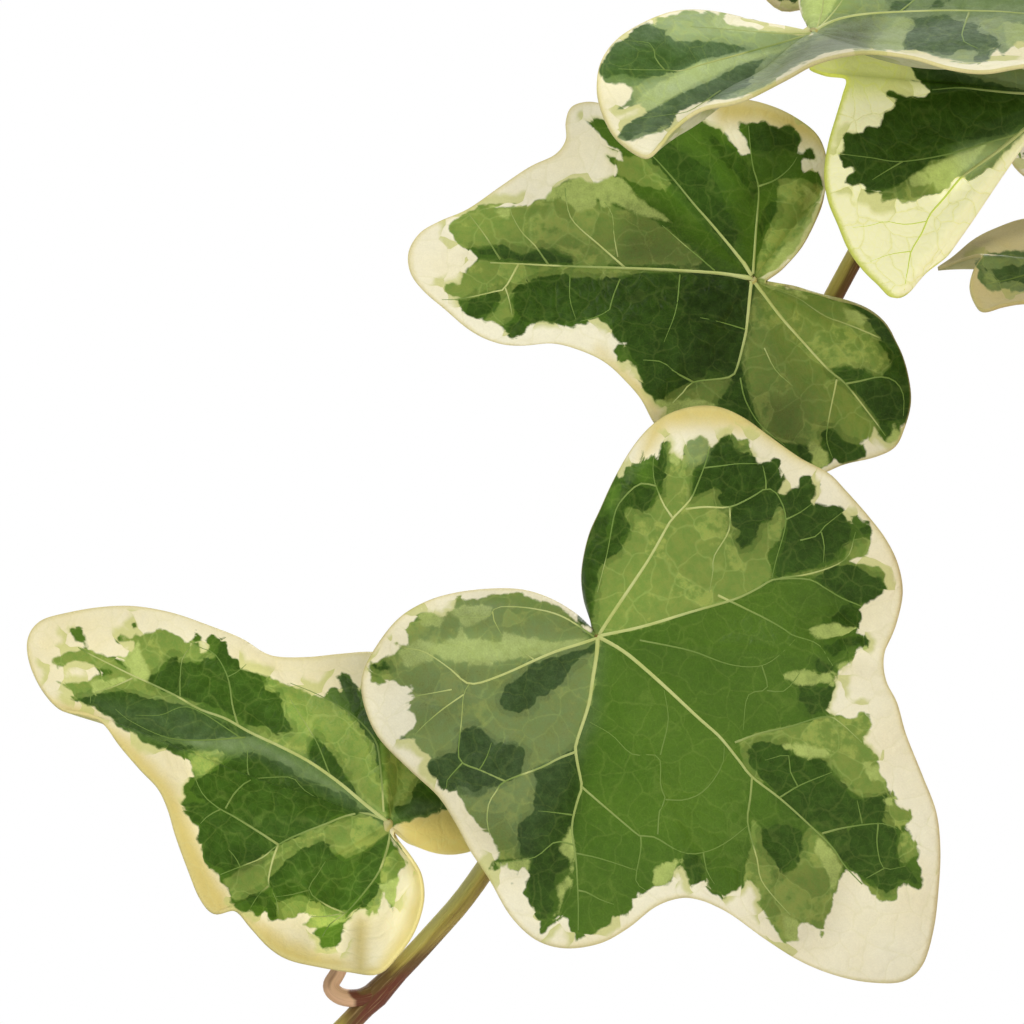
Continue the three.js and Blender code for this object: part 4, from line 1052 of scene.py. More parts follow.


# What the photograph shows on each leaf in view, in picture points: veins as (width in mm, line), outlines
# of the green zone, of cream cut into it and of its dark, pale, light and gold patches, and outlines shaded
# or greyed by (amount, softness in mm, outline). The shade washes are partly the leaf's own lightness and partly
# painted light and shade; the grey washes are partly a grey tint and partly a painted sheen.
viewMarks = {
 "leafA": {
  "jag": 0.5,
  "gold": (
   (640,464, 655,400, 700,380, 770,409, 835,463, 800,459, 757,434, 710,426, 670,428),
  ),
  "shade": (
   (-0.2, 4.0, (700,430, 765,440, 800,490, 860,520, 840,560, 735,560, 700,490)),
   (-0.25, 4.0, (745,850, 790,870, 850,850, 835,930, 790,955, 760,920)),
   (-0.14, 4.0, (470,780, 500,790, 525,850, 510,870, 480,840)), (-0.14, 4.0, (410,680, 465,676, 468,725, 412,728)),
   (0.16, 5.0, (596,640, 596,600, 640,560, 690,600, 640,630, 600,650)),
   (-0.24, 3.0, (600,630, 560,605, 480,590, 380,640, 380,760, 480,850, 560,900, 590,740)),
   (0.4, 1.0, (606,508, 611,490, 620,483, 627,484, 620,497, 613,512)),
   (0.2, 1.2, (640,458, 652,455, 655,470, 652,482, 640,480, 634,470)),
   (0.12, 6.0, (600,660, 700,730, 760,800, 700,860, 600,860, 590,740)),
   (-0.15, 4.0, (790,590, 860,570, 880,600, 840,640, 800,640)),
   (0.3, 2.0, (425,645, 470,632, 520,638, 580,640, 500,662, 440,664)),
  ),
  "ash": (
   (0.4, 1.2, (684,442, 688,434, 707,435, 712,446, 706,462, 692,466, 684,460)),
   (0.3, 4.0, (598,645, 560,610, 480,600, 400,640, 390,740, 480,830, 530,850, 590,720)),
  ),
  "veins": (
   (0.5, (598,636, 625,652, 660,682, 700,719, 720,737, 740,762, 752,777, 782,800, 815,830, 833,848, 845,866,
    862,884)), (0.42, (598,636, 640,627, 690,612, 735,599, 760,587, 775,579, 808,579, 822,586, 842,598, 862,607)),
   (0.42, (599,634, 612,614, 635,580, 650,557, 668,525, 673,518, 690,500, 698,483, 706,462, 710,446)),
   (0.46, (598,638, 597,655, 593,680, 589,705, 577,742, 576,752, 579,770, 582,787, 577,803, 572,828, 576,860, 578,900,
    578,930)), (0.4, (597,638, 580,644, 560,650, 540,658, 500,676, 470,684, 450,668, 425,652, 405,648)),
   (0.3, (576,752, 560,758, 540,768, 505,781, 497,790, 489,803, 487,820, 490,835)),
   (0.26, (582,787, 597,800, 630,828, 641,836, 655,837, 684,853, 705,852, 725,843, 747,826)),
   (0.26, (752,777, 750,800, 747,820, 752,842, 757,860, 760,878, 770,893, 790,915)),
   (0.26, (735,742, 760,733, 790,726, 825,716, 840,722, 862,742)),
   (0.26, (718,595, 760,616, 783,629, 793,636, 818,645, 833,665)),
   (0.24, (673,518, 664,505, 657,489, 654,480, 653,465, 655,454)),
   (0.22, (656,486, 640,484, 624,498, 615,515, 608,550, 603,570, 597,592)),
   (0.24, (686,509, 705,507, 730,507, 752,497, 766,489, 777,494, 786,520, 776,560, 772,578)),
   (0.2, (766,489, 766,480, 763,466)), (0.2, (730,507, 729,530, 714,556, 713,570, 709,592)),
   (0.18, (704,468, 722,466, 738,464, 758,464)), (0.22, (780,578, 815,572, 846,558, 855,532)),
   (0.2, (786,519, 800,512, 812,503)), (0.18, (800,540, 818,535, 822,528, 842,512)),
   (0.16, (821,532, 824,545, 823,562)), (0.24, (505,781, 480,770, 463,763, 459,752, 462,720, 464,695, 470,684)),
   (0.18, (463,763, 448,780, 447,788)), (0.16, (480,770, 487,758, 492,743)),
   (0.22, (594,636, 562,617, 530,609, 498,608, 488,617, 460,617)), (0.16, (493,612, 495,622, 503,636)),
   (0.18, (464,695, 445,708, 428,722, 416,734)), (0.16, (452,690, 430,694, 412,697)),
   (0.16, (535,660, 528,655, 518,648)), (0.2, (640,640, 690,650, 730,664, 762,665, 785,650, 795,640)),
   (0.18, (658,834, 660,810, 665,800, 660,785, 658,757, 632,754, 612,735, 590,722)),
   (0.16, (665,800, 685,800, 705,790, 722,765, 724,745)), (0.18, (641,836, 641,850, 636,880, 646,890)),
   (0.18, (576,853, 600,858, 637,870)), (0.2, (578,890, 587,892, 600,899, 614,904)),
   (0.18, (703,853, 706,870, 714,884)), (0.16, (660,755, 668,720, 664,690)),
   (0.16, (762,665, 767,688, 748,695, 743,730)), (0.16, (767,690, 785,690, 800,672)),
   (0.2, (780,797, 800,785, 832,772)), (0.16, (798,786, 790,770, 788,755, 765,760)),
   (0.24, (822,833, 845,827, 880,823, 897,828)), (0.16, (862,823, 857,800)),
   (0.18, (878,824, 877,845, 884,868, 905,866)), (0.16, (884,868, 866,878)), (0.18, (573,815, 550,812, 538,811)),
   (0.2, (575,845, 555,842, 535,857, 505,862)),
  ),
  "green": (
   (576,622, 574,570, 582,515, 594,476, 604,462, 618,470, 606,520, 602,600, 592,632),
   (585,530, 592,490, 600,466, 620,470, 618,500, 606,540, 590,560),
   (590,630, 586,612, 583,598, 584,578, 587,556, 590,536, 597,521, 605,511, 608,500, 611,489, 616,482, 622,479,
    625,471, 634,466, 640,463, 640,456, 643,451, 648,458, 653,452, 657,459, 662,444, 666,438, 672,439, 673,447,
    671,452, 677,453, 682,458, 685,441, 688,434, 694,438, 700,435, 707,435, 712,446, 718,436, 728,432, 733,436,
    740,441, 750,438, 749,447, 755,454, 757,464, 763,464, 774,459, 779,462, 784,477, 779,493, 786,494, 790,488,
    797,487, 802,477, 808,474, 814,483, 819,485, 812,502, 824,507, 834,506, 845,511, 851,522, 853,514, 859,515,
    863,521, 868,521, 873,530, 872,542, 866,556, 850,560, 856,564, 875,566, 884,574, 882,580, 887,588, 884,598,
    875,600, 866,606, 861,610, 863,619, 857,632, 865,635, 871,642, 868,648, 861,650, 852,662, 843,665, 838,673,
    836,686, 833,697, 826,712, 836,716, 852,719, 862,712, 869,716, 871,728, 861,737, 868,748, 877,756, 881,768,
    887,780, 890,790, 897,800, 904,808, 912,808, 915,815, 908,826, 915,838, 920,850, 919,862, 922,870, 924,885,
    921,893, 914,889, 904,884, 897,890, 898,901, 880,901, 866,890, 856,877, 846,870, 842,880, 838,895, 830,905,
    828,915, 822,922, 825,935, 823,942, 818,938, 819,928, 810,926, 800,922, 795,928, 797,940, 788,943, 791,951,
    785,950, 780,938, 774,925, 768,920, 757,905, 762,895, 755,888, 747,878, 742,889, 733,893, 724,901, 716,896,
    708,891, 705,882, 700,882, 692,888, 688,882, 686,870, 682,866, 676,872, 672,882, 664,887, 655,887, 643,894,
    636,893, 635,905, 633,914, 622,916, 614,914, 612,922, 605,927, 598,932, 590,935, 584,934, 581,941, 575,940,
    573,932, 570,925, 568,917, 563,917, 556,922, 549,928, 544,935, 538,934, 540,920, 535,913, 526,899, 522,893,
    526,882, 528,872, 524,868, 517,878, 512,890, 510,884, 516,873, 508,870, 507,864, 497,870, 490,874, 487,868,
    492,860, 498,856, 500,850, 494,845, 493,835, 487,831, 475,827, 472,818, 463,812, 462,803, 456,794, 450,796,
    443,792, 437,779, 432,778, 424,768, 430,758, 420,752, 413,745, 412,738, 405,742, 397,741, 403,735, 410,728,
    415,720, 412,713, 404,719, 398,718, 404,711, 410,705, 413,699, 402,697, 408,693, 412,687, 405,688, 396,686,
    390,680, 378,683, 372,681, 372,673, 368,668, 370,661, 378,660, 393,653, 400,648, 395,642, 403,645, 408,645,
    407,636, 405,628, 412,620, 418,613, 430,613, 445,618, 448,613, 456,611, 454,604, 457,598, 478,599, 488,594,
    500,594, 520,594, 533,600, 545,604, 556,609, 568,615, 584,628),
  ),
  "dark": (
   (576,622, 574,570, 582,515, 594,482, 606,490, 600,530, 596,580, 592,630),
   (713,446, 720,435, 728,432, 731,440, 736,450, 745,455, 753,453, 756,464, 763,465, 774,459, 779,462, 784,477,
    778,494, 779,502, 772,522, 760,524, 758,532, 752,545, 746,549, 741,549, 735,540, 740,531, 733,529, 730,522,
    731,508, 722,507, 717,498, 722,492, 712,488, 697,497, 690,499, 693,480, 693,468, 700,470, 705,462),
   (780,500, 790,488, 797,487, 802,477, 808,474, 818,485, 812,503, 830,506, 845,511, 852,530, 852,540, 838,550,
    832,560, 815,569, 783,577, 772,578, 776,560, 784,540, 786,520), (858,530, 868,521, 873,528, 872,536, 862,536),
   (812,578, 830,568, 848,563, 870,576, 880,580, 886,588, 884,598, 866,606, 848,602, 825,588),
   (840,604, 862,608, 863,618, 857,630, 840,628, 828,620),
   (822,645, 845,636, 858,634, 870,641, 866,648, 850,650, 838,658, 828,655),
   (800,684, 815,682, 835,686, 832,700, 824,714, 806,716, 800,700), (814,660, 822,656, 833,666, 830,673, 817,674),
   (622,482, 632,479, 640,484, 652,486, 657,492, 656,500, 650,510, 642,513, 637,508, 627,508, 628,519, 631,526,
    630,533, 622,542, 620,550, 612,556, 607,558, 609,535, 613,515, 618,500),
   (655,465, 660,452, 664,445, 668,452, 668,463, 665,475, 663,498, 656,485, 654,475),
   (600,515, 610,512, 613,518, 609,530, 607,557, 600,568, 597,590, 593,625, 585,600, 585,575, 588,550, 592,530),
   (498,706, 502,690, 508,682, 520,675, 528,665, 542,660, 560,654, 585,647, 597,642, 600,648, 578,661, 568,672,
    558,685, 548,698, 540,699, 536,706, 530,712, 510,714),
   (425,768, 432,760, 443,756, 457,752, 460,745, 460,733, 473,727, 480,726, 487,735, 494,740, 495,744, 515,743,
    521,748, 524,755, 522,765, 518,775, 500,782, 487,788, 478,795, 470,794, 465,789, 458,789, 450,796, 443,792,
    437,779, 430,777), (369,665, 373,660, 379,663, 386,660, 392,668, 386,671, 378,672),
   (532,770, 550,764, 568,752, 573,750, 577,760, 580,790, 575,808, 570,828, 558,840, 560,848, 565,855, 570,855,
    569,868, 558,877, 552,898, 556,902, 555,912, 548,918, 540,918, 532,908, 526,899, 527,878, 533,856, 519,856,
    520,842, 516,838, 520,822, 533,812, 534,790, 536,783),
   (748,750, 755,743, 765,742, 778,745, 785,743, 790,752, 805,758, 822,757, 830,765, 834,775, 842,780, 848,790,
    858,797, 880,797, 888,793, 885,805, 888,812, 880,820, 845,827, 822,833, 805,822, 780,798, 765,783, 752,768),
   (824,835, 845,829, 880,824, 895,828, 900,835, 898,845, 900,865, 908,865, 912,872, 919,876, 920,886, 900,880,
    895,888, 885,892, 868,880, 858,877, 840,857),
   (762,830, 775,822, 790,820, 803,832, 800,860, 788,868, 780,875, 776,862, 765,853, 762,842),
   (686,866, 684,855, 700,856, 705,868, 700,882, 692,888),
  ),
  "pale": (
   (592,632, 595,610, 597,575, 606,560, 620,551, 631,532, 631,522, 622,514, 628,508, 642,514, 650,509, 657,497,
    668,497, 663,487, 668,462, 666,447, 672,440, 673,452, 682,458, 692,467, 690,500, 697,497, 712,488, 722,492,
    717,498, 722,507, 731,508, 730,522, 740,531, 735,540, 741,549, 752,545, 760,524, 772,522, 779,502, 785,520,
    780,535, 766,552, 772,577, 740,596, 700,607, 665,620, 640,627, 600,634),
   (684,442, 688,434, 707,435, 711,446, 704,462, 692,466), (732,434, 750,438, 750,455, 741,450, 734,444),
   (780,577, 830,567, 848,558, 850,545, 845,545, 870,538, 866,556, 850,561, 820,574),
   (848,562, 875,566, 884,574, 880,580, 866,575),
   (590,640, 568,616, 520,595, 457,599, 405,628, 372,662, 372,680, 412,688, 400,730, 430,757, 458,750, 460,730,
    480,724, 497,741, 515,741, 526,753, 520,778, 480,797, 455,798, 475,827, 494,845, 500,858, 519,857, 516,838,
    533,811, 534,780, 532,769, 570,750, 576,742, 592,690, 597,650, 600,642),
   (742,742, 775,730, 830,717, 852,719, 862,712, 871,728, 861,737, 877,756, 890,790, 858,797, 842,780, 830,764,
    805,758, 785,743, 765,742, 750,748, 748,758, 762,782, 750,770),
   (755,825, 763,843, 766,855, 777,868, 783,875, 797,868, 803,840, 810,830, 820,834, 840,865, 838,895, 828,915,
    825,940, 800,922, 796,940, 785,950, 757,905, 745,880, 748,865, 755,850, 752,835),
   (899,840, 903,830, 915,838, 919,852, 905,862, 899,858), (880,822, 890,800, 904,808, 914,812, 908,826, 893,825),
   (860,880, 882,893, 898,888, 897,901, 880,901),
  ),
  "light": (
   (452,612, 470,604, 490,609, 484,620, 466,626), (398,652, 420,640, 440,646, 432,660, 408,668),
   (446,650, 480,638, 530,647, 560,641, 588,640, 560,652, 500,661, 458,664),
   (430,652, 440,643, 455,640, 462,628, 468,640, 500,640, 503,631, 520,636, 560,641, 588,638, 560,652, 535,656,
    520,650, 500,656, 470,658, 450,660), (415,616, 430,613, 443,618, 440,625, 422,625),
   (808,633, 833,624, 842,629, 857,631, 840,637, 820,641),
   (785,675, 800,672, 814,669, 818,674, 836,672, 835,684, 800,683),
   (838,664, 852,661, 862,649, 868,648, 852,664, 840,674), (818,836, 838,862, 840,880, 832,896, 826,875, 815,848),
   (782,745, 795,742, 835,752, 824,757, 800,757), (862,762, 880,765, 888,780, 870,782),
   (556,884, 570,872, 574,880, 563,900, 560,916, 552,920, 557,902),
   (560,846, 571,830, 576,850, 572,870, 569,856, 560,853), (492,862, 520,860, 531,860, 527,872, 510,872),
   (655,872, 665,863, 680,859, 676,872, 666,886, 655,886), (782,915, 800,926, 797,940, 788,943),
   (886,800, 894,797, 898,806, 890,811), (672,440, 671,452, 677,453, 682,458, 678,470, 670,462, 667,448),
  ),
 },
 "leafB": {
  "jag": 0.45,
  "gold": (
   (700,95, 760,98, 820,120, 826,150, 800,140, 760,122, 720,124), (650,390, 664,424, 640,400, 600,350),
  ),
  "shade": (
   (-0.2, 3.0, (870,300, 915,340, 915,430, 880,430, 850,385, 890,370)),
   (-0.22, 3.0, (748,125, 790,125, 801,138, 793,165, 780,182, 760,186, 752,165)),
   (-0.25, 4.0, (700,268, 752,278, 748,330, 735,375, 690,380, 680,300)),
   (-0.28, 3.0, (625,205, 665,205, 690,235, 745,272, 690,266, 620,262)),
   (-0.22, 3.0, (650,150, 700,120, 750,160, 757,200, 752,270, 720,240, 680,190)),
   (-0.3, 5.0, (757,290, 800,350, 828,380, 838,440, 780,475, 735,400)),
   (-0.22, 3.0, (758,398, 802,400, 804,442, 765,442)), (-0.25, 3.0, (655,385, 690,378, 735,376, 720,420, 660,425)),
   (-0.25, 9.0, (520,190, 600,205, 680,215, 756,290, 600,290, 500,275)),
   (0.35, 4.0, (640,150, 690,120, 745,130, 745,180, 710,215, 670,200)),
   (-0.22, 4.0, (600,282, 750,284, 735,372, 660,395, 610,320)),
   (0.2, 4.0, (450,215, 500,205, 540,215, 530,243, 480,244, 455,240)),
  ),
  "veins": (
   (0.46, (752,279, 730,274, 700,271, 640,268, 560,266, 520,264, 490,263)),
   (0.4, (751,276, 740,258, 710,222, 695,205, 673,178, 652,155, 640,146)),
   (0.34, (752,274, 755,230, 758,190, 753,170, 750,150, 748,126)),
   (0.42, (751,281, 747,320, 745,335, 735,372, 725,378, 693,382, 683,392, 672,403)),
   (0.44, (753,281, 765,297, 780,317, 803,343, 828,370, 845,384, 872,418, 885,436)),
   (0.22, (693,382, 675,372, 662,362, 643,360)), (0.24, (518,265, 505,288, 495,292, 462,299, 442,300)),
   (0.2, (505,288, 509,300, 512,316)), (0.26, (625,267, 600,245, 580,228, 570,216, 566,200, 565,188)),
   (0.22, (548,264, 535,245, 522,232, 512,215, 510,207)), (0.22, (500,259, 485,235, 468,213)),
   (0.16, (618,256, 614,235, 612,215, 604,202)), (0.16, (715,270, 690,250, 662,226)),
   (0.22, (757,187, 775,180, 790,168, 797,157)), (0.22, (836,380, 828,420, 826,440, 832,458)),
   (0.24, (845,384, 860,381, 880,377, 895,382, 903,396, 903,416)),
   (0.18, (880,338, 850,325, 824,316, 800,298, 775,288)), (0.18, (620,280, 612,300, 610,310, 595,318, 580,322)),
   (0.14, (570,276, 570,300, 576,320)), (0.16, (680,275, 676,310, 664,342)), (0.14, (764,348, 775,370, 792,386)),
   (0.18, (740,378, 745,400, 760,425, 785,446)), (0.14, (747,330, 720,322, 700,318)),
  ),
  "green": (
   (800,284, 840,296, 872,304, 896,328, 912,370, 914,405, 908,425, 890,415, 880,345, 830,310),
   (437,295, 446,293, 446,284, 460,284, 465,266, 472,264, 475,258, 468,252, 456,240, 450,230, 450,221, 462,213,
    478,206, 500,205, 520,205, 530,203, 528,201, 535,199, 545,196, 553,188, 565,181, 580,178, 592,184, 605,180,
    612,177, 617,173, 614,165, 607,157, 615,158, 622,160, 620,153, 612,150, 595,134, 582,117, 592,119, 606,121,
    630,115, 680,105, 700,119, 712,124, 721,127, 728,138, 741,154, 750,153, 747,141, 738,130, 736,123, 740,121,
    745,123, 760,122, 778,128, 785,125, 793,127, 799,131, 802,140, 798,152, 805,148, 812,147, 817,155, 816,161,
    803,162, 806,170, 818,172, 823,185, 821,200, 812,222, 796,250, 776,268, 756,280, 775,282, 790,285, 810,290,
    840,303, 868,312, 892,330, 905,355, 912,380, 914,405, 909,420, 900,428, 898,437, 890,443, 884,440, 874,427,
    868,440, 860,443, 866,451, 863,457, 855,461, 842,467, 834,460, 828,467, 818,472, 790,490, 740,480, 700,450,
    670,423, 664,418, 665,409, 658,402, 645,390, 634,368, 628,362, 625,368, 621,366, 615,350, 622,345, 627,344,
    620,341, 610,330, 602,325, 597,320, 585,325, 577,325, 576,329, 563,327, 562,325, 535,325, 526,328, 526,334,
    515,339, 503,335, 500,325, 484,323, 480,319, 468,318, 459,310, 458,301, 463,298),
  ),
  "dark": (
   (852,300, 872,306, 896,328, 912,370, 914,405, 906,420, 894,400, 890,360, 870,325),
   (473,247, 477,249, 487,247, 500,245, 508,247, 522,254, 530,251, 538,250, 540,245, 548,250, 555,249, 558,254,
    573,256, 575,260, 571,264, 525,263, 505,259, 478,254),
   (463,315, 466,305, 470,299, 500,291, 501,300, 497,305, 494,312, 480,318, 468,318),
   (504,330, 508,322, 515,318, 527,327, 526,334, 515,339, 506,336),
   (511,300, 515,288, 522,284, 537,279, 540,276, 550,274, 567,274, 570,280, 580,278, 600,281, 610,276, 625,277,
    640,272, 700,270, 752,281, 748,300, 745,335, 738,365, 733,375, 725,377, 710,372, 695,380, 668,393, 660,402,
    645,388, 625,345, 615,335, 610,322, 605,317, 580,322, 560,324, 528,324, 517,318, 512,310),
   (648,152, 660,148, 672,145, 690,155, 700,165, 710,168, 713,180, 720,190, 732,218, 738,235, 738,250, 735,256,
    705,215, 672,183),
   (705,133, 710,130, 730,148, 750,165, 757,185, 756,200, 752,202, 747,190, 732,172, 722,160, 712,150),
   (760,245, 758,225, 762,212, 770,202, 777,202, 777,212, 763,235),
   (732,376, 741,362, 750,400, 758,425, 755,435, 735,413, 716,405, 728,385),
   (828,370, 840,371, 843,366, 865,368, 869,373, 850,382, 838,380),
   (843,384, 880,377, 888,368, 900,358, 908,370, 914,402, 908,418, 890,421, 880,424, 892,430, 890,437, 870,410,
    855,393), (820,432, 826,427, 832,427, 843,440, 858,445, 864,453, 858,461, 840,465, 832,461, 822,445),
   (792,443, 800,441, 808,446, 814,455, 812,460, 800,458), (868,326, 880,323, 898,342, 906,360, 893,350, 883,338),
   (760,122, 778,128, 793,127, 800,140, 795,150, 770,150, 752,150, 748,126),
   (798,152, 812,147, 817,155, 814,161, 800,162),
  ),
  "pale": (
   (452,222, 462,213, 500,206, 560,200, 600,203, 640,215, 680,240, 700,262, 575,263, 575,256, 555,248, 540,244,
    522,252, 500,243, 475,246, 460,245, 452,232),
   (446,294, 447,285, 462,284, 470,267, 480,262, 560,266, 700,271, 640,272, 600,280, 580,277, 567,273, 537,278,
    515,288, 511,300, 515,317, 503,325, 484,322, 495,312, 502,300, 500,291, 470,298),
   (758,283, 800,290, 840,304, 870,320, 885,340, 900,358, 888,366, 878,377, 868,370, 843,364, 828,369, 838,380,
    862,400, 878,426, 868,438, 856,443, 845,440, 835,426, 820,430, 820,445, 790,442, 765,432, 748,385, 743,360,
    750,320), (780,180, 800,178, 822,190, 815,220, 790,258, 757,279, 765,240, 778,215),
   (695,383, 733,378, 716,405, 668,406, 660,402, 680,388), (618,160, 650,156, 672,180, 660,190, 630,180, 618,172),
  ),
  "light": (
   (535,199, 553,188, 580,178, 592,184, 612,177, 625,180, 640,197, 672,223, 655,219, 630,212, 612,203, 603,206,
    599,196, 596,206, 578,210, 566,200, 556,197, 545,203), (490,208, 510,207, 511,218, 500,218),
   (845,308, 858,312, 868,320, 860,327, 850,318), (762,283, 800,290, 806,296, 790,292),
   (815,440, 828,455, 828,468, 815,468, 814,456, 806,444),
   (800,182, 805,195, 802,210, 822,196, 815,215, 800,235, 785,250, 765,276, 796,252, 824,200),
   (894,424, 900,437, 888,443, 893,434), (658,402, 700,400, 716,406, 680,420, 664,418),
  ),
 },
 "leafC": {
  "jag": 0.45, "goldBase": -0.5,
  "gold": (
   (388,815, 470,795, 490,860, 410,862),
   (330,985, 345,968, 378,966, 404,930, 416,890, 408,855, 440,850, 440,960, 380,990),
   (353,985, 353,930, 358,915, 368,920, 366,985),
   (50,700, 90,706, 128,735, 175,785, 215,870, 240,912, 200,925, 150,840, 90,740),
   (185,830, 232,905, 290,940, 330,955, 370,965, 250,985, 180,925),
   (262,648, 330,650, 372,650, 400,665, 380,640, 300,640),
  ),
  # Painted light and shade: these lighten C's right margin and lobe tip, turned from the light or in leaf A's shadow,
  # and the strip under A; narrow light and dark strips paint the lower lobe's creases; the rest adjust its own
  # lightness.
  "shade": (
   (0.3, 4.0, (190,660, 260,670, 290,720, 240,715, 190,690)),
   (0.3, 4.0, (280,850, 360,830, 385,870, 340,905, 285,895)),
   (0.15, 4.0, (40,640, 220,630, 340,670, 390,760, 390,815, 340,800, 200,760, 60,700)),
   (0.6, 3.0, (378,985, 388,925, 396,880, 430,850, 440,920, 410,985)),
   (0.9, 3.0, (398,822, 440,822, 480,840, 480,860, 410,860)), (0.6, 2.0, (310,915, 345,915, 340,955, 318,955)),
   (0.36, 4.0, (190,750, 340,800, 400,830, 420,880, 390,920, 260,930, 190,830)),
   (-0.42, 2.5, (228,885, 250,862, 290,841, 345,817, 392,829, 372,845, 345,858, 300,852, 270,878, 250,898)),
   (-0.3, 2.0, (385,860, 402,850, 412,866, 402,895, 390,915, 382,890)),
   (0.55, 3.0, (345,715, 385,735, 396,785, 378,785, 356,750)),
   (0.32, 4.0, (265,690, 310,700, 350,720, 340,745, 300,735)), (0.35, 2.0, (348,868, 358,862, 356,895, 346,905)),
   (-0.3, 1.5, (353,985, 353,930, 358,915, 366,920, 364,985)),
   (-0.3, 0.8, (365,705, 379,740, 385,778, 381,778, 374,742)), (-0.3, 0.8, (230,872, 262,860, 246,871, 233,879)),
   (-0.3, 1.5, (224,852, 256,843, 264,860, 233,878)),
   (-0.15, 3.0, (262,752, 340,796, 370,814, 330,822, 290,800, 262,775)),
  ),
  # Painted sheen: the grey washes paint the grey shine along C's midrib fold and ridge, with some grey tint.
  "ash": (
   (0.4, 2.0, (190,742, 215,738, 260,741, 310,763, 350,792, 388,824, 350,806, 300,778, 262,755, 215,752)),
   (0.3, 3.0, (90,700, 180,705, 250,738, 180,745, 120,725)), (0.45, 1.5, (395,818, 415,800, 443,806, 420,816)),
  ),
  "veins": (
   (0.5, (388,823, 365,805, 340,784, 310,763, 280,747, 250,733, 225,719, 200,710, 175,696, 150,684, 130,675, 110,665,
    92,656, 78,648)), (0.26, (384,812, 383,790, 380,762, 376,742, 360,722, 340,707, 315,694, 290,684)),
   (0.3, (388,823, 378,818, 365,814, 345,817, 300,834, 278,845, 262,858, 240,867, 220,875)),
   (0.28, (278,845, 255,830, 230,815, 220,810, 205,798, 197,785, 193,772)), (0.2, (220,810, 208,816, 200,824)),
   (0.2, (225,809, 235,793, 250,781, 275,778, 293,779, 303,790, 318,800)), (0.18, (250,781, 247,768, 248,745)),
   (0.3, (390,828, 388,845, 382,865, 372,882, 358,900, 345,914, 330,925, 322,938)),
   (0.22, (390,832, 398,842, 408,855)), (0.26, (278,845, 272,862, 268,885, 275,898, 278,915)),
   (0.18, (268,887, 255,900, 250,908)), (0.2, (345,914, 325,905, 308,890, 318,872, 328,855)),
   (0.16, (308,890, 290,895, 275,897)), (0.16, (345,914, 325,917, 310,917)),
   (0.24, (238,726, 232,705, 228,678, 215,655, 200,648, 190,642)), (0.16, (228,677, 238,672, 246,665)),
   (0.2, (245,738, 200,741, 165,738, 130,722, 115,710)), (0.16, (240,738, 190,708, 160,716, 135,716)),
   (0.2, (132,679, 112,688, 92,695, 90,704)), (0.18, (180,698, 180,680, 182,660, 190,648)),
   (0.18, (330,775, 318,745, 308,728, 290,700)), (0.14, (240,868, 235,858, 228,850)),
  ),
  "green": (
   (50,660, 62,654, 80,650, 86,646, 74,640, 69,629, 75,627, 82,629, 88,641, 90,650, 97,653, 110,657, 125,658, 132,650,
    134,643, 126,644, 118,642, 114,638, 118,632, 123,631, 128,636, 134,636, 130,625, 134,619, 140,628, 137,636,
    146,632, 155,628, 175,633, 190,645, 193,640, 196,631, 199,636, 203,652, 208,648, 207,640, 212,634, 219,642,
    228,638, 229,650, 231,655, 238,658, 242,667, 258,670, 268,675, 285,683, 315,695, 325,698, 329,688, 335,687,
    341,691, 342,684, 337,677, 343,672, 350,677, 361,690, 380,700, 410,725, 440,770, 455,802, 430,815, 400,822,
    390,828, 398,842, 409,858, 411,866, 402,872, 401,890, 397,910, 393,916, 388,898, 385,892, 380,912, 375,915,
    372,912, 370,918, 366,906, 352,914, 345,922, 342,938, 338,947, 328,950, 322,956, 319,938, 313,934, 318,928,
    303,925, 314,916, 304,911, 295,917, 280,920, 268,921, 266,912, 255,916, 250,908, 241,912, 233,902, 226,890,
    222,884, 217,884, 219,878, 208,870, 200,852, 198,835, 200,828, 190,818, 185,815, 182,808, 183,802, 188,798,
    184,787, 192,777, 188,763, 176,753, 155,747, 142,742, 133,735, 120,728, 98,711, 78,702, 66,698, 75,694, 60,686,
    55,681, 68,683, 88,682, 100,673, 90,663, 74,660, 66,664, 64,668, 57,669),
  ),
  "dark": (
   (147,680, 150,675, 158,672, 164,665, 170,656, 177,657, 180,662, 198,663, 208,656, 214,658, 219,643, 224,639,
    229,648, 231,655, 238,659, 242,668, 258,670, 265,676, 266,690, 278,692, 286,718, 294,728, 290,732, 275,733,
    266,725, 255,727, 225,712, 175,697, 150,686),
   (76,701, 100,693, 122,690, 150,698, 190,706, 230,723, 252,736, 200,741, 165,738, 143,737, 128,730, 97,710),
   (150,742, 170,743, 190,745, 200,747, 185,751, 160,748),
   (205,775, 222,762, 245,752, 262,752, 290,765, 300,776, 335,788, 370,813, 340,817, 300,834, 278,845, 250,862,
    225,872, 208,862, 198,838, 202,825, 187,815, 184,805, 205,801, 192,790, 195,783),
   (270,887, 269,878, 284,862, 300,850, 320,842, 330,842, 333,852, 345,858, 372,845, 391,833, 384,855, 378,875,
    362,892, 358,900, 345,911, 318,902, 298,893, 278,902),
   (312,740, 316,735, 332,752, 348,775, 358,795, 340,783, 312,763, 308,757),
   (395,808, 410,802, 415,785, 420,780, 440,800, 443,808, 412,817, 398,820),
   (338,676, 343,674, 358,688, 362,705, 379,735, 384,776, 380,778, 374,744, 352,712, 343,690),
   (247,900, 255,893, 268,892, 275,905, 277,917, 270,918, 266,906, 252,905),
   (350,908, 365,895, 376,880, 380,885, 375,900, 363,906),
  ),
  "pale": (
   (268,676, 315,695, 345,712, 375,742, 383,790, 386,815, 360,796, 335,755, 316,733, 309,740, 307,758, 280,745,
    250,728, 262,728, 277,733, 294,732, 286,718, 278,692, 266,690),
   (383,745, 420,780, 412,800, 395,806, 390,815, 386,790),
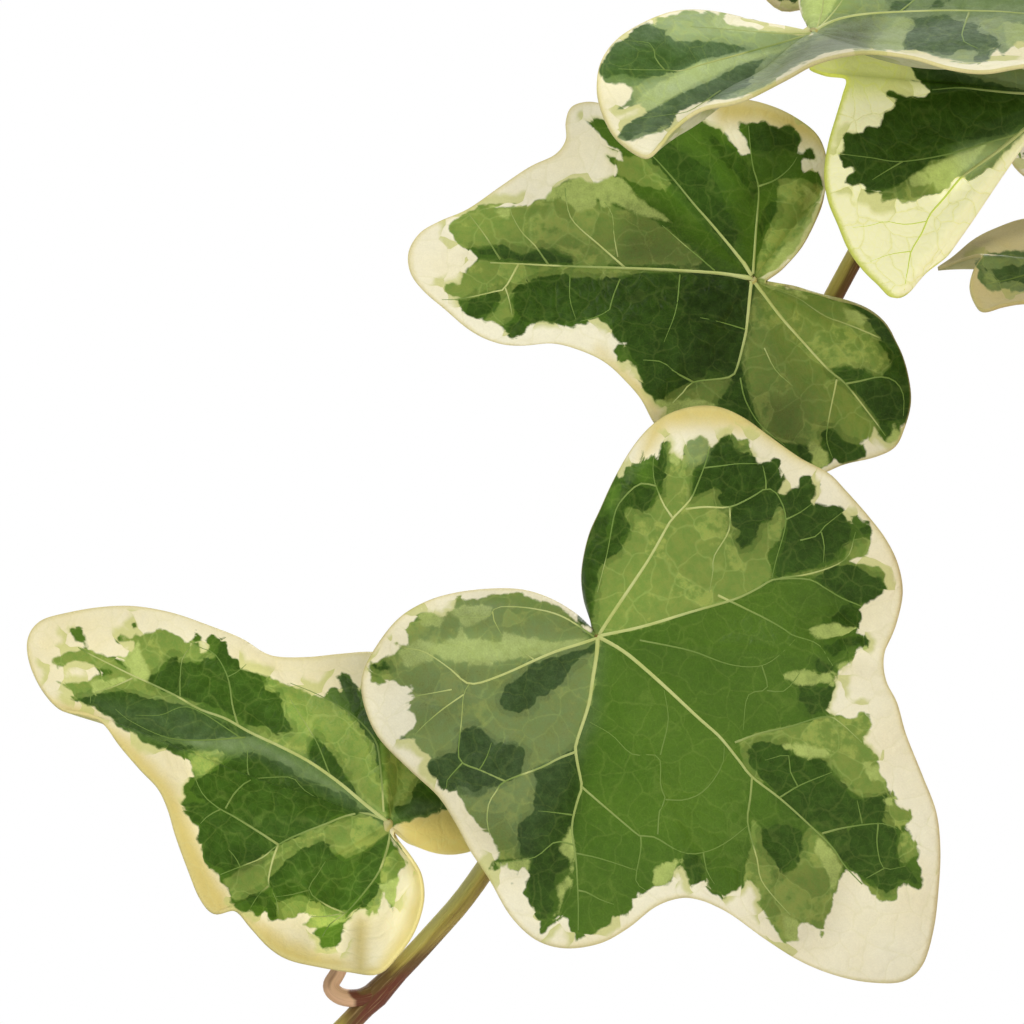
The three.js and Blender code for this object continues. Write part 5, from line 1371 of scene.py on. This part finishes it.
   (52,660, 88,651, 125,668, 185,700, 205,706, 150,698, 122,689, 66,698, 58,684, 80,684, 118,672, 75,658, 56,668),
   (118,632, 135,636, 155,628, 185,640, 214,656, 203,660, 180,661, 170,655, 163,662, 147,682, 130,672, 135,650,
    125,643),
   (225,882, 250,862, 290,841, 345,817, 365,814, 390,830, 372,843, 345,857, 333,850, 320,841, 300,850, 284,862,
    270,875, 269,887, 250,897, 235,896), (190,755, 222,752, 220,762, 200,778, 193,772),
   (382,862, 395,850, 405,850, 411,864, 400,875, 400,895, 390,905, 383,885),
   (275,905, 300,897, 320,900, 345,912, 343,919, 318,925, 305,925, 300,912, 280,919),
   (362,905, 380,885, 386,892, 380,912, 370,917),
  ),
  "light": (
   (118,658, 132,650, 138,640, 142,660, 150,672, 146,682, 128,672), (92,682, 118,676, 140,680, 120,684, 95,694),
   (382,885, 400,875, 412,866, 405,895, 397,912, 388,898),
  ),
 },
 "leafD": {
  "jag": 0.35, "lime": 0.2, "dull": 0.5,
  # Painted sheen: the grey washes lay the grey shine of a grazing reflection over leaf D, along with some grey tint.
  "ash": (
   (0.35, 4.0, (690,110, 740,70, 815,40, 880,12, 1010,20, 1010,62, 930,60, 850,55, 790,75, 720,104)),
   (0.3, 3.0, (640,92, 700,62, 780,48, 800,44, 740,62, 690,88, 650,112)),
   (-0.3, 2.0, (600,70, 622,45, 662,45, 700,58, 640,82, 606,84)),
   (0.25, 3.0, (650,25, 690,8, 760,26, 815,34, 760,42, 690,38)),
   (-0.3, 2.0, (800,20, 800,-10, 830,-30, 870,-20, 840,12, 818,34)),
  ),
  "shade": (
   # Painted light and shade: these lighten and darken leaf D around its sheen.
   (0.35, 5.0, (590,60, 650,5, 760,20, 800,36, 700,70, 600,90)),
   (0.2, 3.0, (650,112, 640,92, 700,62, 790,46, 740,68, 700,90)),
   (-0.08, 4.0, (740,72, 800,36, 870,12, 1020,14, 1030,40, 1000,56, 900,50, 850,52, 790,72, 740,100)),
   (0.3, 3.0, (800,20, 800,-10, 830,-30, 870,-20, 840,12, 818,34)),
   (-0.54, 4.0, (760,84, 795,42, 835,22, 875,18, 868,54, 850,56, 815,63, 790,76)),
  ),
  "veins": (
   (0.46, (813,33, 825,26, 840,20, 860,16, 885,14, 935,12, 965,12, 1000,13, 1024,15, 1070,16, 1120,18, 1165,24)),
   (0.26, (969,14, 962,40, 978,50)), (0.28, (812,35, 780,44, 740,55, 700,66, 680,72, 664,71, 640,71, 618,70)),
   (0.2, (664,71, 655,60, 650,45, 625,42)), (0.2, (812,34, 770,34, 720,30, 690,28)),
   (0.22, (816,32, 828,20, 840,5, 850,-12, 856,-30)), (0.2, (816,32, 822,10, 824,-12, 822,-35)),
   (0.24, (900,13, 930,-10, 960,-25, 980,-38)), (0.2, (720,92, 690,112, 670,116, 640,120)),
   (0.22, (1060,16, 1090,2, 1110,-10)),
  ),
  "green": (
   (598,68, 603,58, 613,43, 625,38, 638,26, 648,23, 655,24, 658,18, 675,14, 682,9, 695,9, 700,13, 708,11, 718,15,
    722,10, 727,10, 722,18, 725,24, 760,29, 800,34, 812,34, 806,25, 803,12, 800,-4, 808,-24, 832,-46, 870,-57,
    920,-51, 980,-40, 1040,-30, 1090,-16, 1130,0, 1165,16, 1172,34, 1130,44, 1080,48, 1040,44, 1018,42, 1008,50,
    1004,55, 996,48, 988,62, 972,65, 955,62, 940,58, 920,52, 880,50, 850,50, 825,55, 800,66, 760,88, 740,97, 705,102,
    690,106, 680,112, 665,130, 660,134, 648,135, 640,140, 622,142, 616,138, 622,125, 640,116, 648,112, 640,102,
    625,108, 615,109, 628,98, 632,88, 625,84, 605,83, 600,77),
  ),
  "dark": (
   (598,68, 607,50, 620,40, 638,26, 648,23, 652,27, 668,28, 665,34, 675,41, 700,39, 725,42, 752,47, 735,52, 700,60,
    680,71, 655,76, 640,80, 625,74, 603,79),
   (617,135, 622,125, 640,117, 660,104, 685,90, 715,77, 735,65, 768,56, 755,70, 750,85, 720,99, 690,106, 672,122,
    660,134, 645,132, 628,142),
   (905,52, 903,42, 915,24, 910,18, 945,14, 962,22, 978,21, 979,32, 988,31, 1000,40, 1000,48, 990,50, 988,62, 975,64,
    972,60, 978,52, 960,50, 950,57, 925,52), (892,0, 915,0, 905,10, 888,11), (925,9, 935,0, 958,-8, 940,8),
   (1030,-10, 1080,0, 1110,22, 1060,30, 1030,20), (860,-30, 900,-40, 930,-20, 890,-12),
  ),
  "pale": (
   (655,24, 682,9, 727,12, 760,29, 812,34, 760,45, 720,40, 675,41, 665,34),
   (632,88, 655,76, 700,62, 780,47, 812,36, 768,56, 715,76, 660,104, 640,116),
   (755,70, 800,50, 860,18, 915,20, 903,42, 905,52, 850,52, 800,66, 740,96),
   (803,20, 800,-10, 832,-46, 880,-50, 870,-10, 890,10, 850,15, 815,34), (950,57, 960,50, 975,50, 972,62, 958,62),
   (980,21, 1000,20, 1012,40, 1000,40, 988,31), (1005,24, 1040,30, 1036,44, 1006,46),
  ),
  "light": (
   (655,85, 700,62, 790,48, 740,62, 690,86, 655,106, 640,112, 636,98),
   (868,47, 888,30, 898,18, 914,20, 904,34, 902,50), (804,20, 803,0, 814,-20, 830,-25, 838,0, 826,18, 815,33),
   (720,10, 740,24, 790,33, 730,30, 708,24), (648,137, 665,125, 662,134, 650,142, 636,146),
   (1003,22, 1040,26, 1040,44, 1008,46),
  ),
 },
 "leafE": {
  "jag": 0.4, "lime": 1.0,
  # Painted shadow: on leaf E this gold outline, in the lime-gold colour, paints the olive shade that leaf D casts on
  # its top.
  "gold": (
   (800,30, 915,30, 935,84, 900,92, 845,98, 800,80),
  ),
  # Painted light and shade: these lighten E's top under leaf D and a lit streak lower down, and darken other parts.
  "shade": (
   (-0.2, 4.0, (900,55, 1100,60, 1100,110, 900,100)), (0.34, 3.0, (820,50, 890,55, 930,75, 930,96, 880,100, 820,100)),
   (-0.13, 3.0, (850,110, 1020,90, 1010,140, 900,190, 845,160)),
   (0.5, 2.0, (920,175, 940,160, 985,144, 1000,150, 970,180, 940,200)),
  ),
  "ash": (
   (0.4, 2.0, (940,68, 1000,70, 1100,72, 1100,94, 1024,91, 985,82)),
   (0.5, 3.0, (960,152, 1010,140, 1040,128, 1005,158, 980,180, 962,182)),
  ),
  "veins": (
   (0.4, (1060,92, 1024,94, 990,91, 959,88, 932,90)),
   (0.26, (1060,95, 1024,130, 990,142, 945,155, 900,162, 870,158, 838,154)), (0.2, (902,162, 885,172, 872,180)),
   (0.44, (1030,125, 1000,150, 965,175, 955,185, 943,200, 930,215, 922,233, 911,252, 908,268, 903,290)),
   (0.15, (926,222, 905,225, 885,222, 870,226, 852,228)), (0.15, (911,252, 890,255, 870,262)),
  ),
  "green": (
   (905,50, 950,60, 1000,64, 1100,68, 1100,120, 1060,122, 1040,128, 1020,140, 1005,155, 985,175, 967,186, 965,178,
    958,178, 950,188, 940,196, 903,204, 898,198, 880,202, 883,194, 872,193, 866,193, 864,187, 842,184, 850,173,
    858,168, 843,168, 837,155, 845,152, 843,136, 847,133, 862,134, 868,126, 880,127, 884,112, 895,106, 897,100,
    886,97, 885,92, 890,90, 905,97, 925,97, 932,92, 925,87, 905,79, 918,82, 908,66),
  ),
  "dark": (
   (908,66, 915,58, 940,66, 960,73, 1010,88, 1100,96, 1100,110, 1024,125, 1010,134, 960,142, 935,152, 950,158,
    930,162, 908,180, 890,190, 866,193, 864,187, 842,184, 858,168, 843,168, 837,155, 845,152, 843,136, 862,134,
    868,126, 880,127, 884,112, 897,102, 886,97, 885,92, 905,97, 925,97, 932,92, 905,79, 918,82),
  ),
  "pale": (
   (940,66, 1000,66, 1100,70, 1100,92, 1024,90, 985,82),
   (908,178, 930,163, 975,148, 1024,134, 1040,128, 1005,157, 967,188, 972,172, 950,190, 903,206, 880,203, 885,192,
    900,188),
  ),
  "light": (
   (925,170, 940,162, 985,146, 975,160, 960,174, 950,188, 935,194, 932,180), (908,178, 925,172, 930,182, 912,186),
   (885,204, 910,200, 945,194, 930,204, 905,210),
  ),
 },
 "leafF": {
  "jag": 0.5, "lime": 0.1, "dull": 0.35, "goldBase": 0.2,
  "shade": (
   (0.22, 1.0, (984,262, 1064,260, 1064,286, 990,286)),
   (-0.25, 1.0, (930,272, 950,248, 975,238, 995,238, 975,254, 950,264)),
   (-0.62, 1.5, (930,272, 955,246, 990,222, 1030,208, 1100,208, 1100,240, 1030,232, 985,248, 964,262)),
  ),
  "veins": (
   (0.3, (1066,255, 1040,270, 1010,280, 985,285)),
  ),
  "green": (
   (974,256, 1000,252, 1024,250, 1064,255, 1064,288, 1024,290, 992,292, 978,278),
  ),
  "dark": (
   (985,268, 1010,262, 1040,266, 1030,282, 1000,284),
  ),
  "pale": (
   (980,258, 1064,258, 1064,286, 992,290),
  ),
 },
}


# ---- the long shoot

veins = []
for index, name in enumerate(viewLeaves):
    veins += buildViewLeaf(name, index)
print("leaves in view built")
for points in viewPetioles:
    nearest = np.linalg.norm(longStem["points"] - fromView(points[0])[0], axis=1).argmin()
    longStem["nodes"].append(float(longStem["lengths"][nearest]))
stalks = [stemTube(longStem, longRadius, longWarm, 3.0)]
for points, leaf in zip(viewPetioles, (*viewLeaves.values(), *smallLeaves)):
    normal = viewLeaf(leaf, (1,))[2] if "margin" in leaf else smallViewLeaf(leaf)["normal"]
    radius, warm = (0.72, hookWarm) if leaf is viewLeaves["leafC"] else (0.62, stalkWarm)
    stalks.append(stalkTube(fromView(points), normal, radius, len(stalks) * 7.0, warm=warm))
for leaf in (*nearPot, *surfaceLeaves):
    stalks.append(ruleStalk(leaf, 0.7, len(stalks) * 7.0))
makePiece("trailing_stem", [tubesMesh(stalks, stemSettings["sides"])], [stemBark], ["shoot_long"])


def buildShoot(name, node, leaves, stem):
    meshes, tubes = [], []
    for leaf in leaves:
        mesh, leafTubes = buildRuleLeaf(leaf, shootCount["leaves"])
        shootCount["leaves"] += 1
        meshes.append(mesh)
        tubes += leafTubes
    makeBlades(f"{name}_leaves", meshes, [node])
    makePiece(f"{name}_veins", [tubesMesh(tubes, sides=4)], [leafVein])
    if stem:
        makePiece(f"{name}_stem", [tubesMesh(stem, stemSettings["stalkSides"])], [stemBark])


shootCount = {"leaves": 0}
makePiece("trailing_leaf_veins", [tubesMesh(veins, sides=6)], [leafVein])
buildShoot("trailing_small", "shoot_long", [*viewSmall, *nearPot, *surfaceLeaves], None)
for k, shoot in enumerate(shoots):
    radius = shoot["radius"]
    tubes = [stemTube(shoot["line"], ((0, radius), (1, 0.55 * radius)), ((0, 0.85), (1, 0.35)), k * 11.0)]
    for leaf in shoot["leaves"]:
        tubes.append(ruleStalk(leaf, 0.75, len(tubes) * 5.0 + k))
    buildShoot(f"shoot_{k + 1:02d}", f"shoot_{k + 1:02d}", shoot["leaves"], tubes)
print("shoots built:", len(shoots), "with", shootCount["leaves"], "leaves")


# ---- pot and soil

def wallAt(height):
    bandBottom = potSettings["height"] - potSettings["bandHeight"]
    spread = potSettings["rimRadius"] - potSettings["bandStep"] - potSettings["baseRadius"]
    return potSettings["baseRadius"] + spread * height / bandBottom


def spinPiece(profile, steps):  # a profile of (radius, height) turned round the pot's axis into a closed shape
    turned = bmesh.new()
    verts = [turned.verts.new((radius * mm, 0, height * mm)) for radius, height in profile]
    edges = [turned.edges.new(pair) for pair in zip(verts, verts[1:])]
    bmesh.ops.spin(turned, geom=verts + edges, cent=(0, 0, 0), axis=(0, 0, 1), angle=2 * math.pi, steps=steps,
                   use_merge=True)
    bmesh.ops.remove_doubles(turned, verts=turned.verts, dist=1e-6)
    bmesh.ops.recalc_face_normals(turned, faces=turned.faces)
    return turned


def rounded(corners, turn, points):  # a profile with each corner eased over a short run
    line = [np.array(corner, float) for corner in corners]
    path = [line[0]]
    for before, corner, after in zip(line, line[1:], line[2:]):
        reach = min(turn, np.linalg.norm(before - corner) / 2.2, np.linalg.norm(after - corner) / 2.2)
        start, end = corner + unit(before - corner) * reach, corner + unit(after - corner) * reach
        for t in np.linspace(0, 1, points):
            path.append((1 - t) ** 2 * start + 2 * t * (1 - t) * corner + t * t * end)
    return path + [line[-1]]


def buildPot():
    s = potSettings
    bandBottom, inner = s["height"] - s["bandHeight"], s["rimRadius"] - s["wall"]
    corners = [(0, 0), (s["baseRadius"], 0), (wallAt(bandBottom), bandBottom), (s["rimRadius"], bandBottom + 0.6),
               (s["rimRadius"], s["height"]), (inner, s["height"]), (wallAt(s["floor"]) - s["wall"], s["floor"]),
               (0, s["floor"])]
    shell = addObject("pot_shell", toMesh(spinPiece(rounded(corners, turn=1.6, points=5), steps=96), "pot_shell"))
    cutters = bmesh.new()
    for k in range(s["holeCount"]):
        angle = 2 * math.pi * k / s["holeCount"]
        hole = bmesh.ops.create_cone(cutters, cap_ends=True, segments=32, radius1=s["holeRadius"] * mm,
                                     radius2=s["holeRadius"] * mm, depth=3 * s["floor"] * mm)["verts"]
        bmesh.ops.translate(cutters, verts=hole, vec=(s["holeCircle"] * math.cos(angle) * mm,
                                                      s["holeCircle"] * math.sin(angle) * mm, 0))
    cutter = addObject("drain_cutters", toMesh(cutters, "drain_cutters"))
    cut = shell.modifiers.new("drain", "BOOLEAN")
    cut.operation, cut.object, cut.solver = "DIFFERENCE", cutter, "EXACT"
    final = finalMesh(shell)
    bpy.data.objects.remove(cutter)
    makePiece("clay_pot", [final], [clay], ["pot"])


def soilWall(height):
    s = potSettings
    low, high = wallAt(s["floor"]) - s["wall"], s["rimRadius"] - s["wall"]
    return low + (high - low) * (height - s["floor"]) / (s["height"] - 1.5 - s["floor"]) - soilSettings["gap"]


def soilHeight(x, y):
    radius = math.hypot(x, y)
    top = np.interp(radius, (0, potSettings["rimRadius"] / 2, soilWall(soilSettings["top"])),
                    (soilSettings["crown"], 0.75 * soilSettings["crown"], -0.6))
    rough = noise.fractal(Vector((x, y, 3.0)) * 0.12, 1.0, 2.0, 5)
    return soilSettings["top"] + float(top) + soilSettings["roughness"] * rough


def buildSoilBed():
    s = soilSettings
    wall = soilWall(s["top"]) - 0.3
    rows = [(radius, s["top"]) for radius in np.linspace(0, wall, s["rings"])]
    bottom = potSettings["floor"] + s["gap"]
    rows += [(soilWall(bottom) - 0.5, bottom), (0, bottom)]
    made = spinPiece(rows, steps=s["spokes"])
    for vert in made.verts:
        if vert.co.z > (s["top"] - 1) * mm:
            vert.co.z = soilHeight(vert.co.x / mm, vert.co.y / mm) * mm
    bed = toMesh(made, "bed")
    draw = seededRandom(s["seed"])
    crumbs, grains = bmesh.new(), bmesh.new()
    for k in range(s["crumbs"] + s["grains"]):
        target = crumbs if k < s["crumbs"] else grains
        radius, angle = (wall - 2.5) * math.sqrt(draw()), 2 * math.pi * draw()
        x, y, size = radius * math.cos(angle), radius * math.sin(angle), 0.6 + 1.3 * draw() ** 2
        lump = bmesh.ops.create_icosphere(target, subdivisions=2 if size > 1 else 1, radius=size * mm)["verts"]
        stretch = (0.8 + 0.5 * draw(), 0.8 + 0.5 * draw(), 0.6 + 0.3 * draw())
        for vert in lump:
            vert.co *= 1 + 0.35 * noise.noise(vert.co * 700 + Vector((k, 0, 0)))
        bmesh.ops.scale(target, verts=lump, vec=stretch)
        bmesh.ops.translate(target, verts=lump, vec=(x * mm, y * mm, (soilHeight(x, y) + 0.2 * size) * mm))
    makePiece("soil_bed", [bed, toMesh(crumbs, "crumbs")], [pottingSoil], ["soil"])
    makePiece("soil_grains", [toMesh(grains, "grains")], [paleGrain])


buildPot()
buildSoilBed()
print("pot and soil built")


# ---- floor, light and camera

stageSettings = {
    "floorRadius": 0.23, "floorCentre": (-0.03, 0.0), "floorColor": (0.86, 0.86, 0.85, 1),
    "roomLight": 0.56, "roomGloss": 0.06, "backGloss": 1.0, "roomSeen": 1.0,
}


def buildFloor():
    material = startMaterial("table_top", Roughness=0.7, Base_Color=stageSettings["floorColor"])[0]
    made = bmesh.new()
    bmesh.ops.create_circle(made, cap_ends=True, segments=128, radius=stageSettings["floorRadius"])
    bmesh.ops.translate(made, verts=made.verts, vec=(*stageSettings["floorCentre"], -0.0002))
    mesh = toMesh(made, "table_top")
    mesh.materials.append(material)
    addObject("table_top", mesh)


def buildRoom():  # a white room: what the lens and the gloss see is brighter than what it casts
    world = bpy.data.worlds.new("white_room")
    world.use_nodes = True
    bpy.context.scene.world = world
    tree = world.node_tree
    path = addNode(tree, "ShaderNodeLightPath").outputs
    way = addNode(tree, "ShaderNodeSeparateXYZ", {0: addNode(tree, "ShaderNodeTexCoord").outputs["Generated"]})
    gloss = remap(tree, way.outputs["Y"], -0.1, 0.6, stageSettings["roomGloss"], stageSettings["backGloss"])
    cast = calc(tree, "MULTIPLY", gloss, path["Is Glossy Ray"])
    room = calc(tree, "MULTIPLY", calc(tree, "SUBTRACT", 1.0, path["Is Glossy Ray"]), stageSettings["roomLight"])
    cast = calc(tree, "ADD", cast, room)
    strength = calc(tree, "MAXIMUM", cast, calc(tree, "MULTIPLY", path["Is Camera Ray"], stageSettings["roomSeen"]))
    back = tree.nodes["Background"]
    back.inputs["Color"].default_value = (1, 1, 1, 1)
    tree.links.new(strength, back.inputs["Strength"])


def addLight(name, place, target, size, power, color=(1, 1, 1), gloss=True):
    light = bpy.data.lights.new(name, "AREA")
    light.shape, light.size, light.energy, light.color = "DISK", size, power, color
    lamp = addObject(name, light)
    lamp.location, lamp.visible_glossy = place, gloss
    lamp.rotation_euler = (Vector(target) - Vector(place)).to_track_quat("-Z", "Y").to_euler()


buildFloor()
buildRoom()
addLight("key_light", (-0.75, -0.7, 0.95), (-0.1, 0, 0.06), size=0.6, power=4.4, color=(1, 0.985, 0.96))
addLight("front_light", (0.45, -1.2, 0.15), (-0.08, 0, 0.06), size=0.9, power=6.5, gloss=False)
addLight("back_light", (-0.05, 0.85, 0.8), (-0.08, 0, 0.06), size=0.8, power=5.5)

lens = bpy.data.cameras.new("camera")
lens.sensor_width = 36
lens.lens = lens.sensor_width / 2 * viewSettings["distance"] / (viewSettings["centre"][0] * viewSettings["pointSize"])
camera = addObject("camera", lens)
camera.location = (viewSettings["x"] * mm, -viewSettings["distance"] * mm, viewSettings["z"] * mm)
camera.rotation_euler = (math.pi / 2, 0, 0)
bpy.context.scene.camera = camera
bpy.context.scene.view_settings.view_transform = "Standard"
